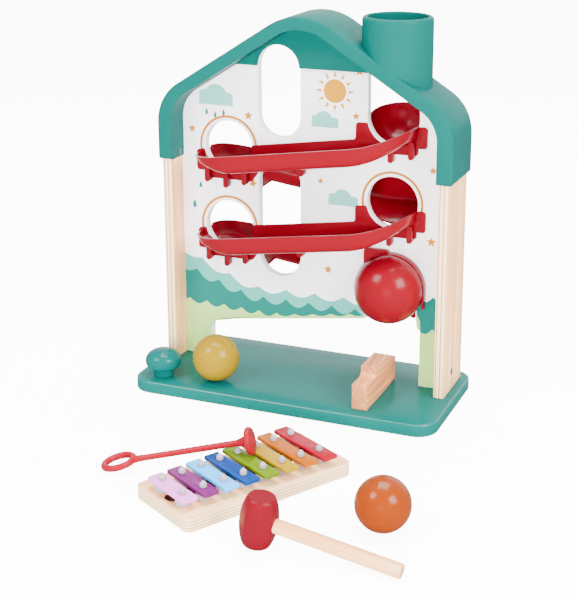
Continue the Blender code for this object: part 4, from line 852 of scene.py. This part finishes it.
def rib_mesh(name):
    """Three short ribs with round ends under each end of a trough, and a lug under its middle."""
    outlines = []
    for x, z in ((HOLE_OUT, RUN_DROP / 2), (-HOLE_OUT, -RUN_DROP / 2)):
        for step in (-1, 0, 1):
            low = z - (SIDE_RIB_DROP if step else MIDDLE_RIB_DROP)
            middle = x + step * RIB_STEP
            high = max(seat_floor(middle), low + RIB_WIDTH)
            half = RIB_WIDTH / 2
            outlines.append(box_outline(middle - half, low, middle + half, high, half * RIB_ROUND))
    half = LUG_WIDTH / 2
    outlines.append(box_outline(LUG_X - half, -LUG_DROP, LUG_X + half, seat_floor(LUG_X), half * RIB_ROUND))
    back = -SCREW_ROOM - SEAT_THICK / 4
    return upright_sheet(name, outlines, back - RIB_REACH, back, 0.0007)


view_outline = tall_slot(WINDOW_X, WINDOW_HALF, LOWER_WINDOW[0] - VIEW_LOWER, LOWER_WINDOW[1])
red_plastic = film_finish("red_plastic", TROUGH_RED, 0.14, shade=0.04, peel=260.0, depth=0.02, shine=0.16)
for number, trough_name in enumerate(("upper_front", "upper_back", "lower_front", "lower_back")):
    behind = number % 2 == 1
    whole = worked(trough_mesh(trough_name, behind), [seat_mesh("seat"), rib_mesh("ribs")], "UNION")
    height = (hole_height(number) + hole_height(number + 1)) / 2
    place = Matrix.Translation((0, panel_back if behind else PANEL_FRONT, height))
    whole = moved(whole, place @ Matrix.Rotation(math.pi if behind else 0, 4, "Z"))
    if behind:
        whole = worked(
            whole, [upright_sheet("view", [view_outline], panel_back - VIEW_DEPTH, panel_back + VIEW_DEPTH)])
    finished(whole, trough_name + "_trough", red_plastic, "house", trough_name + "_track")


# Scoop and hood: two red cups of the same moulding stock. The scoop behind the panel takes the
# ball from the chimney, and the hood in front of the panel turns the ball down to its way out.

CUP_WALL, LID_HALF = 0.0022, 0.06
SCOOP_RADIUS, SCOOP_COLLAR, SCOOP_RIM_DROP, SCOOP_RIM_TILT = 0.029, 0.010, 0.0015, math.radians(13)
HOOD_RADIUS, HOOD_COLLAR, HOOD_LIP, HOOD_LEG = 0.0328, 0.0073, 0.0008, 0.0175
HOOD_X, HOOD_Z = 0.0846, 0.1100
HOOD_TAB_OUT, HOOD_TAB_LOW, HOOD_TAB_TOP = 0.0271, 0.010, 0.0358


def cup_profile(radius, collar):
    """Profile of a round-ended cup with a straight collar at its mouth."""
    turns = [math.radians(4.5 * step) for step in range(21)]
    inside = radius - CUP_WALL
    outer = [(radius * math.sin(t), collar + radius * math.cos(t)) for t in turns]
    inner = [(inside * math.sin(t), collar + inside * math.cos(t)) for t in reversed(turns)]
    return outer + [(radius, 0), (inside, 0)] + inner


scoop_back = panel_back + SCREW_ROOM
scoop_mesh = moved(
    turned_mesh("scoop", cup_profile(SCOOP_RADIUS, SCOOP_COLLAR), 72),
    Matrix.Translation((HOLE_OUT, scoop_back, hole_height(0))) @ Matrix.Rotation(math.radians(-90), 4, "X"))
lid_mesh = moved(
    sheet_mesh("lid", [slab_outline(2 * LID_HALF, 2 * LID_HALF, 0)], 2 * LID_HALF),
    Matrix.Translation((HOLE_OUT, scoop_back, hole_height(0) - SCOOP_RIM_DROP))
    @ Matrix.Rotation(SCOOP_RIM_TILT, 4, "X") @ Matrix.Translation((0, 0, LID_HALF)))
scoop_mesh = eased(worked(scoop_mesh, [lid_mesh]), width=0.0006, segments=3, angle=50)
finished(scoop_mesh, "scoop", red_plastic, "house", "top_scoop")

hood_seat = PANEL_FRONT - SCREW_ROOM
hood_mesh = moved(
    turned_mesh("hood", cup_profile(HOOD_RADIUS, SEAT_THICK), 96),
    Matrix.Translation((HOOD_X, hood_seat - HOOD_COLLAR, HOOD_Z)) @ UPRIGHT)
hood_outside, hood_inside = HOOD_RADIUS + HOOD_LIP, HOOD_RADIUS + HOOD_LIP - CUP_WALL
half_turn = [math.pi * step / 48 for step in range(49)]
collar_outline = [Vector((hood_outside * math.cos(t), hood_outside * math.sin(t))) for t in half_turn]
collar_outline += [Vector((-hood_outside, -HOOD_LEG)), Vector((-hood_inside, -HOOD_LEG))]
collar_outline += [Vector((hood_inside * math.cos(t), hood_inside * math.sin(t))) for t in reversed(half_turn)]
collar_outline += [Vector((hood_inside, -HOOD_LEG)), Vector((hood_outside, -HOOD_LEG))]
collar_depth = HOOD_COLLAR + SEAT_THICK / 2
to_hood = Matrix.Translation((HOOD_X, 0, HOOD_Z))
collar_mesh = moved(upright_sheet("collar", [collar_outline], hood_seat - collar_depth, hood_seat, 0.0005), to_hood)
tab_outline = box_outline(-HOOD_TAB_OUT, HOOD_TAB_LOW, -CUP_WALL, HOOD_TAB_TOP, EAR_ROUND)
tab_mesh = moved(upright_sheet("tab", [tab_outline], hood_seat - HOOD_COLLAR + CUP_WALL, hood_seat, 0.0006), to_hood)
room_mesh = moved(
    upright_sheet("room", [ring_outline(0, 0, hood_inside + SCREW_ROOM)], hood_seat - 2 * PAST, hood_seat + PAST),
    to_hood)
hood_mesh = worked(hood_mesh, [collar_mesh, worked(tab_mesh, [room_mesh])], "UNION")
finished(hood_mesh, "hood", red_plastic, "house", "exit_hood")


# Stepped block: a short bar of beech with a step down at each end, screwed to the base from
# below. It may prop the end of the xylophone under the hood.

BLOCK_FRONT, BLOCK_WIDTH, BLOCK_EASE = -0.0573, 0.015, 0.0006
BLOCK_STEPS = (0.025, 0.061, 0.082)
BLOCK_LOW, BLOCK_TOP, BLOCK_COVE = 0.024, 0.033, 0.005
BEECH, BEECH_DARK = (0.88, 0.36, 0.125, 1.0), (0.50, 0.155, 0.048, 1.0)

front_step, back_step, block_length = BLOCK_STEPS
block_outline = rounded_outline([
    (0, 0, 0), (block_length, 0, 0), (block_length, BLOCK_LOW, 0), (back_step, BLOCK_LOW, BLOCK_COVE),
    (back_step, BLOCK_TOP, 0), (front_step, BLOCK_TOP, 0), (front_step, BLOCK_LOW, BLOCK_COVE), (0, BLOCK_LOW, 0)])
block_mesh = moved(
    sheet_mesh("block", [block_outline], BLOCK_WIDTH, BLOCK_EASE),
    Matrix.Translation((BLOCK_X, BLOCK_FRONT, ON_BASE))
    @ Matrix.Rotation(math.radians(90), 4, "Z") @ UPRIGHT)
beech = grain_finish("beech", (0, 1, 0), BEECH, BEECH_DARK, 0.5, 320.0, rings=0.55)
finished(block_mesh, "block", beech, "house", "stepped_block", crisp=12)


# Knob: a turned mushroom in gloss teal lacquer on a short neck, at the left front corner. Its
# crown is plain.

KNOB_NECK, KNOB_NECK_HEIGHT, KNOB_CAP, KNOB_CAP_HEIGHT = 0.0099, 0.0085, 0.0174, 0.0185
KNOB_RIM_SHARE, KNOB_FLARE, KNOB_EASE = 0.38, 1.08, 0.0006
KNOB_TEAL = (0.0003, 0.088, 0.080, 1.0)

knob_top = KNOB_NECK_HEIGHT + KNOB_CAP_HEIGHT
knob_rim = KNOB_NECK_HEIGHT + KNOB_CAP_HEIGHT * KNOB_RIM_SHARE
knob_throat = KNOB_NECK * KNOB_FLARE
knob_profile = []
for step in range(19):
    turn = math.radians(5 * step)
    knob_profile.append((KNOB_CAP * math.sin(turn), knob_rim + (knob_top - knob_rim) * math.cos(turn)))
for step in range(1, 13):
    turn = math.radians(7.5 * step)
    knob_profile.append((
        knob_throat + (KNOB_CAP - knob_throat) * math.cos(turn) ** 0.5 if step < 12 else knob_throat,
        knob_rim - (knob_rim - KNOB_NECK_HEIGHT) * math.sin(turn)))
knob_profile += [
    (KNOB_NECK, KNOB_NECK_HEIGHT * 0.7), (KNOB_NECK, KNOB_EASE), (KNOB_NECK - KNOB_EASE, 0), (0, 0)]
knob_mesh = moved(turned_mesh("knob", knob_profile, 72), Matrix.Translation((KNOB_X, KNOB_Y, ON_BASE)))
knob_lacquer = film_finish("knob_lacquer", KNOB_TEAL, 0.08, shade=0.06, peel=160.0, depth=0.004, shine=0.14)
finished(knob_mesh, "knob", knob_lacquer, "house", "mushroom_knob")


# Balls: two turned wooden balls of one size, sprayed yellow and orange, with a glossy coat. The
# yellow one lies on the base and the orange one on the floor.

BALL_RADIUS = 0.0225

for ball_name, spot, colour in (
    ("yellow", (-0.0733, -0.0410, ON_BASE + BALL_RADIUS), (0.25, 0.152, 0.0002, 1.0)),
    ("orange", (0.1636, -0.2379, BALL_RADIUS), (0.185, 0.027, 0.0002, 1.0)),
):
    turns = [math.pi * step / 48 for step in range(49)]
    ball_profile = [(BALL_RADIUS * math.sin(turn), BALL_RADIUS * math.cos(turn)) for turn in turns]
    ball_profile[0], ball_profile[-1] = (0, BALL_RADIUS), (0, -BALL_RADIUS)
    ball_mesh = moved(turned_mesh(ball_name, ball_profile, 72), Matrix.Translation(spot))
    ball_paint = film_finish(ball_name + "_paint", colour, 0.10, shade=0.05, peel=420.0, depth=0.02, shine=0.16)
    finished(ball_mesh, ball_name + "_turned_ball", ball_paint, ball_name + "_ball", ball_name + "_ball")


# Xylophone: a plywood board with a tapering sound slot whose walls are painted dark brown as painted shade,
# eight painted steel bars that grow longer from lavender to red, and two grey studs through each.

BOARD_LENGTH, BOARD_WIDTH, BOARD_THICK, BOARD_CORNER = 0.165, 0.078, 0.012, 0.006
BAR_PITCH, FIRST_BAR, BAR_WIDTH, BAR_THICK = 0.0190, 0.0118, 0.0145, 0.003
SHORT_BAR, LONG_BAR, STUD_SHARE = 0.054, 0.072, 0.55
BOARD_EASE, BAR_CORNER, BAR_EASE, STUD_EASE = 0.0009, 0.0015, 0.0005, 0.0003
STUD_FOOT, STUD_FOOT_HEIGHT, STUD_NECK, STUD_PIN = 0.00625, 0.006, 0.0018, 0.007
STUD_HEAD, STUD_HEAD_HEIGHT = 0.0030, 0.0055
ACORN = ((0.0, 1.0), (0.22, 0.97), (0.45, 0.87), (0.66, 0.73), (0.85, 0.58), (1.0, 0.46), (1.0, 0.38), (0.84, 0.35),
         (0.84, 0.25), (1.0, 0.22), (1.0, 0.05), (0.94, 0.0))
BAR_PAINTS = (
    ("lavender", (0.72, 0.20, 0.66, 1.0)), ("purple", (0.120, 0.011, 0.105, 1.0)), ("sky", (0.03, 0.40, 0.90, 1.0)),
    ("blue", (0.003, 0.040, 0.190, 1.0)), ("lime", (0.100, 0.175, 0.001, 1.0)), ("yellow", (0.34, 0.212, 0.0003, 1.0)),
    ("orange", (0.34, 0.078, 0.0003, 1.0)), ("red", (0.26, 0.002, 0.015, 1.0)))
SLOT_HALF_NARROW, SLOT_HALF_WIDE, SLOT_PAST = 0.007, 0.011, 0.006
SLOT_ROUND_NARROW, SLOT_ROUND_WIDE, SLOT_WALL_TILT = 0.0063, 0.0099, 0.6
STUD_GREY = (0.34, 0.30, 0.34, 1.0)
SLOT_SHADE_BROWN, SLOT_SHADE_DARK = (0.090, 0.030, 0.010, 1.0), (0.045, 0.014, 0.005, 1.0)
XYLOPHONE_SPOT, XYLOPHONE_TURN, BOARD_PLIES = (0.0337, -0.2097, 0), math.radians(59.5), 9.0

on_xylophone = Matrix.Translation(XYLOPHONE_SPOT) @ Matrix.Rotation(XYLOPHONE_TURN, 4, "Z")
long_way = on_xylophone.to_3x3() @ Vector((1, 0, 0))


def rod_mesh(name, radius, top, foot, steps):
    return turned_mesh(name, [(0, top), (radius, top), (radius, foot), (0, foot)], steps)


def bar_place(index):
    return -BOARD_LENGTH / 2 + FIRST_BAR + index * BAR_PITCH


def bar_length(index):
    return SHORT_BAR + (LONG_BAR - SHORT_BAR) * index / (len(BAR_PAINTS) - 1)


slot_low, slot_high = bar_place(0) - SLOT_PAST, bar_place(len(BAR_PAINTS) - 1) + SLOT_PAST
slot_outline = rounded_outline([
    (slot_low, -SLOT_HALF_NARROW, SLOT_ROUND_NARROW), (slot_high, -SLOT_HALF_WIDE, SLOT_ROUND_WIDE),
    (slot_high, SLOT_HALF_WIDE, SLOT_ROUND_WIDE), (slot_low, SLOT_HALF_NARROW, SLOT_ROUND_NARROW)])
board_outline = slab_outline(BOARD_LENGTH, BOARD_WIDTH, BOARD_CORNER)
board_mesh = sheet_mesh("board", [board_outline, slot_outline], BOARD_THICK, BOARD_EASE)
board_mesh = moved(board_mesh, Matrix.Translation((0, 0, BOARD_THICK / 2)))
pin_bottom = BOARD_THICK - STUD_PIN - SCREW_ROOM
pin_holes = []
for index in range(len(BAR_PAINTS)):
    for side in (-1, 1):
        pin_spot = (bar_place(index), side * STUD_SHARE * bar_length(index) / 2, 0)
        pin_mesh = rod_mesh("pin", STUD_NECK + SCREW_ROOM, 2 * PAST, pin_bottom, 16)
        pin_holes.append(moved(pin_mesh, Matrix.Translation(pin_spot)))
board_mesh = moved(worked(board_mesh, pin_holes), on_xylophone)
board_ply = ply_finish("board_ply", long_way, (0, 0, 1), 0.0, BOARD_THICK, BOARD_PLIES)
board_piece = finished(board_mesh, "board", board_ply, "xylophone", "xylophone_board")
# Painted shade: the sound slot's walls get a dark brown wood finish that stands in for the shade inside the slot.
slot_shade_wood = grain_finish("slot_shade_wood", long_way, SLOT_SHADE_BROWN, SLOT_SHADE_DARK, 0.6)
board_piece.data.materials.append(slot_shade_wood)
off_xylophone = on_xylophone.inverted()
for face in board_piece.data.polygons:
    middle = off_xylophone @ face.center
    in_length = slot_low - SCREW_ROOM < middle.x < slot_high + SCREW_ROOM
    if in_length and abs(middle.y) < SLOT_HALF_WIDE + SCREW_ROOM and abs(face.normal.z) < SLOT_WALL_TILT:
        face.material_index = 1

foot_top = BOARD_THICK + STUD_FOOT_HEIGHT
bar_floor = foot_top + SCREW_ROOM
stud_top = bar_floor + BAR_THICK + SCREW_ROOM
stud_profile = [(STUD_HEAD * wide, stud_top + STUD_HEAD_HEIGHT * high) for wide, high in ACORN]
stud_profile += [
    (STUD_NECK, stud_top), (STUD_NECK, foot_top), (STUD_FOOT - STUD_EASE, foot_top), (STUD_FOOT, foot_top - STUD_EASE),
    (STUD_FOOT, BOARD_THICK + SCREW_ROOM), (STUD_NECK, BOARD_THICK + SCREW_ROOM), (STUD_NECK, BOARD_THICK - STUD_PIN),
    (0, BOARD_THICK - STUD_PIN)]
grey_plastic = film_finish("grey_plastic", STUD_GREY, 0.3, shade=0.08, peel=900.0, depth=0.03)
for index, (colour_name, colour) in enumerate(BAR_PAINTS):
    length = bar_length(index)
    stud_step = STUD_SHARE * length / 2
    bar_outline = slab_outline(BAR_WIDTH, length, BAR_CORNER)
    bar_holes = [
        moved(
            rod_mesh("hole", STUD_NECK + SCREW_ROOM, PAST, -PAST, 24), Matrix.Translation((0, side * stud_step, 0)))
        for side in (-1, 1)]
    bar_mesh = worked(sheet_mesh(colour_name, [bar_outline], BAR_THICK, BAR_EASE), bar_holes)
    bar_mesh = moved(bar_mesh, on_xylophone @ Matrix.Translation((bar_place(index), 0, bar_floor + BAR_THICK / 2)))
    bar_paint = film_finish(colour_name + "_bar_paint", colour, 0.10, shade=0.05, peel=300.0, depth=0.008, shine=0.1)
    finished(bar_mesh, colour_name + "_bar", bar_paint, "xylophone", "bar_" + colour_name)
    for end_name, side in (("near", -1), ("far", 1)):
        stud_mesh = moved(
            turned_mesh("stud", stud_profile, 28),
            on_xylophone @ Matrix.Translation((bar_place(index), side * stud_step, 0)))
        finished(
            stud_mesh, colour_name + "_" + end_name + "_stud", grey_plastic, "xylophone",
            "stud_" + colour_name + "_" + end_name)


# Mallet: one red moulding lying over the bars, a thin disc head flaring from a slim shaft with
# a finger ring at its other end.

MALLET_HEAD, MALLET_RING = Vector((0.0111, 0.0087)), Vector((-0.0673, 0.0916))
MALLET_RADIUS, MALLET_THICK, MALLET_FLARE, MALLET_SHAFT = 0.0120, 0.0050, 0.0110, 0.0027
RING_RADIUS, RING_WIRE, RING_STEPS, WIRE_STEPS = 0.01275, 0.0029, 64, 20
MALLET_THROAT, MALLET_BRIM, MALLET_COLLAR, MALLET_TAPER = 1.1, 0.82, 1.3, 1.12
MALLET_RED = (0.250, 0.0005, 0.010, 1.0)

mallet_run = (MALLET_RING - MALLET_HEAD).length
mallet_rest = bar_floor + BAR_THICK + SCREW_ROOM
mallet_drop = math.atan2(mallet_rest + MALLET_RADIUS - RING_WIRE, mallet_run)
mallet_rest += MALLET_RADIUS * math.cos(mallet_drop) + MALLET_THICK / 2 * math.sin(mallet_drop)
mallet_drop = math.atan2(mallet_rest - RING_WIRE - RING_RADIUS * math.sin(mallet_drop), mallet_run)
mallet_heading = math.atan2(MALLET_RING.y - MALLET_HEAD.y, MALLET_RING.x - MALLET_HEAD.x)
mallet_reach = mallet_run / math.cos(mallet_drop)
half = MALLET_THICK / 2
throat, brim = MALLET_SHAFT * MALLET_THROAT, MALLET_RADIUS * MALLET_BRIM
disc_profile = [(0, MALLET_FLARE)]
for step in range(13):
    share = step / 12
    disc_profile.append((throat + (brim - throat) * share, half + (MALLET_FLARE - half) * (1 - share) ** 4))
for step in range(1, 12):
    turn = math.radians(90 - 15 * step)
    disc_profile.append((brim + (MALLET_RADIUS - brim) * math.cos(turn) ** 0.8, half * math.sin(turn)))
disc_profile += [(brim, -half), (0, -half)]
along_x = Matrix.Rotation(math.radians(90), 4, "Y")
shaft_end = mallet_reach - RING_RADIUS - RING_WIRE / 4
shaft_mesh = moved(
    turned_mesh("shaft", [
        (0, shaft_end), (MALLET_SHAFT * MALLET_COLLAR, shaft_end), (MALLET_SHAFT * MALLET_TAPER, shaft_end - 0.003),
        (MALLET_SHAFT, shaft_end - 0.009), (MALLET_SHAFT, 0), (0, 0)], 28), along_x)
loop_shape = bmesh.new()
loop_rings = []
for step in range(RING_STEPS):
    turn = math.tau * step / RING_STEPS
    spokes = [math.tau * side / WIRE_STEPS for side in range(WIRE_STEPS)]
    loop_rings.append([loop_shape.verts.new((
        mallet_reach + (RING_RADIUS + RING_WIRE * math.cos(s)) * math.cos(turn),
        (RING_RADIUS + RING_WIRE * math.cos(s)) * math.sin(turn), RING_WIRE * math.sin(s))) for s in spokes])
for step in range(RING_STEPS):
    here, after = loop_rings[step], loop_rings[(step + 1) % RING_STEPS]
    for side in range(WIRE_STEPS):
        beside = (side + 1) % WIRE_STEPS
        loop_shape.faces.new((here[side], after[side], after[beside], here[beside]))
loop_mesh = filled_mesh(bpy.data.meshes.new("finger_ring"), loop_shape)
mallet_mesh = worked(moved(turned_mesh("mallet", disc_profile, 64), along_x), [shaft_mesh, loop_mesh], "UNION")
mallet_mesh = moved(
    mallet_mesh, on_xylophone @ Matrix.Translation((*MALLET_HEAD, mallet_rest))
    @ Matrix.Rotation(mallet_heading, 4, "Z") @ Matrix.Rotation(mallet_drop, 4, "Y"))
mallet_plastic = film_finish("mallet_plastic", MALLET_RED, 0.26, shade=0.06, peel=500.0, depth=0.03)
finished(mallet_mesh, "beater", mallet_plastic, "mallet", "mallet")


# Hammer: a barrel head with eight soft flats, painted red and tipped on the rim of one face,
# and a pale dowel handle pushed into one of the flats.

HAMMER_HALF, HAMMER_FACE, HAMMER_BULGE, HAMMER_FLATS = 0.0205, 0.01075, 0.0152, 8
HAMMER_SPOT, HAMMER_TURN, HAMMER_EASE, FLAT_DEPTH = (0.0841, -0.2954), math.radians(-2.4), 0.0004, 0.85
HANDLE_RADIUS, HANDLE_REACH, HANDLE_SOCKET = 0.00585, 0.117, 0.008
HAMMER_RED = (0.125, 0.0002, 0.006, 1.0)
DOWEL, DOWEL_DARK = (0.97, 0.63, 0.30, 1.0), (0.78, 0.30, 0.09, 1.0)

hammer_tip = math.atan2(HAMMER_HALF - HANDLE_RADIUS, HANDLE_REACH - HAMMER_FACE)
hammer_rise = HAMMER_FACE * math.sin(hammer_tip) + HAMMER_HALF * math.cos(hammer_tip)
to_hammer = (
    Matrix.Translation((*HAMMER_SPOT, hammer_rise))
    @ Matrix.Rotation(HAMMER_TURN, 4, "Z") @ Matrix.Rotation(hammer_tip, 4, "Y"))
head_profile = [(0, HAMMER_HALF), (HAMMER_FACE - HAMMER_EASE, HAMMER_HALF)]
for step in range(25):
    turn = math.radians(180 * step / 24)
    head_profile.append((
        HAMMER_FACE + (HAMMER_BULGE - HAMMER_FACE) * max(0.0, math.sin(turn)) ** 1.4,
        (HAMMER_HALF - HAMMER_EASE) * math.cos(turn)))
head_profile += [(HAMMER_FACE - HAMMER_EASE, -HAMMER_HALF), (0, -HAMMER_HALF)]
barrel_mesh = turned_mesh("head", head_profile, HAMMER_FLATS * 10)
flat_turn = math.tau / HAMMER_FLATS
for vertex in barrel_mesh.vertices:
    around = math.atan2(vertex.co.y, vertex.co.x) + flat_turn / 2
    fold = math.cos(flat_turn / 2) / math.cos(around % flat_turn - flat_turn / 2)
    middle_share = max(0.0, 1 - (vertex.co.z / HAMMER_HALF) ** 2) ** 0.6
    vertex.co.xy *= 1 + (fold - 1) * middle_share * FLAT_DEPTH
socket_mesh = rod_mesh("socket", HANDLE_RADIUS + SCREW_ROOM, 3 * PAST, -HANDLE_SOCKET - SCREW_ROOM, 40)
head_mesh = worked(barrel_mesh, [moved(socket_mesh, along_x)])
hammer_paint = film_finish("hammer_paint", HAMMER_RED, 0.24, shade=0.06, peel=420.0, depth=0.04, shine=0.14)
finished(moved(head_mesh, to_hammer), "barrel", hammer_paint, "hammer", "hammer_head")

stick_profile = [(0, HANDLE_REACH)]
for step in range(7):
    turn = math.radians(15 * step)
    stick_profile.append((
        HANDLE_RADIUS * (0.8 + 0.2 * math.sin(turn)), HANDLE_REACH - HANDLE_RADIUS * 0.2 * (1 - math.cos(turn))))
stick_profile += [(HANDLE_RADIUS, -HANDLE_SOCKET), (0, -HANDLE_SOCKET)]
stick_mesh = moved(turned_mesh("stick", stick_profile, 48), to_hammer @ along_x)
dowel = grain_finish("dowel", to_hammer.to_3x3() @ Vector((1, 0, 0)), DOWEL, DOWEL_DARK, 0.5, 300.0)
finished(stick_mesh, "dowel_handle", dowel, "hammer", "hammer_handle")


# Screws: zinc-plated countersunk screws with a cross in the head, let in just below the faces
# of the base, the posts and the legs of the roof.

SCREW_ZINC = (0.17, 0.17, 0.18, 1.0)
ROOF_SCREW, PANEL_SCREW = 0.010, 0.025
SCREW_EASE, CROSS_ARM, CROSS_TIP, CROSS_REACH, CROSS_DEPTH = 0.0002, 0.00044, 0.00036, 0.0019, 0.0024
CROSS = (
    (CROSS_ARM, CROSS_ARM), (CROSS_REACH, CROSS_TIP), (CROSS_REACH, -CROSS_TIP), (CROSS_ARM, -CROSS_ARM),
    (CROSS_TIP, -CROSS_REACH), (-CROSS_TIP, -CROSS_REACH), (-CROSS_ARM, -CROSS_ARM), (-CROSS_REACH, -CROSS_TIP),
    (-CROSS_REACH, CROSS_TIP), (-CROSS_ARM, CROSS_ARM), (-CROSS_TIP, CROSS_REACH), (CROSS_TIP, CROSS_REACH))

screw_zinc, zinc_tree, zinc_shader = new_finish("screw_zinc")
zinc_film = placed_group(zinc_tree, sprayed, Colour=SCREW_ZINC, Shade=0.25, Gloss=0.26, Peel=2600.0)
plugged(zinc_tree, zinc_shader, [
    ("Base Color", zinc_film["Colour"]), ("Roughness", zinc_film["Roughness"]), ("Metallic", 1.0),
    ("Normal", bumped(zinc_tree, zinc_film["Height"], 0.1, 0.0003))])

all_screws = {name: ((x, y, 0), (0, 0, 1), length) for name, (x, y, length) in BASE_SCREWS.items()}
for side_name, side in (("left", -1), ("right", 1)):
    all_screws[side_name + "_roof_screw"] = (
        (side * leg_inside, ROOF_SCREW_Y, ROOF_SCREW_Z), (side, 0, 0), ROOF_SCREW)
    all_screws[side_name + "_panel_screw"] = (
        (side * (POST_ACROSS + POST_THICK / 2), PANEL_FRONT + PANEL_THICK / 2, PANEL_SCREW_Z), (-side, 0, 0),
        PANEL_SCREW)
for screw_name, (spot, inward, length) in all_screws.items():
    screw_profile = [
        (0, 0), (SCREW_HEAD - SCREW_EASE, 0), (SCREW_HEAD, -SCREW_EASE), (SCREW_SHANK, -SCREW_CONE),
        (SCREW_SHANK, SCREW_SHANK - length), (0, -length)]
    cross_mesh = sheet_mesh("cross", [CROSS], CROSS_DEPTH)
    screw_mesh = worked(turned_mesh("screw", screw_profile, 28), [cross_mesh])
    finished(driven(screw_mesh, spot, inward), "zinc_" + screw_name, screw_zinc, "house", screw_name)
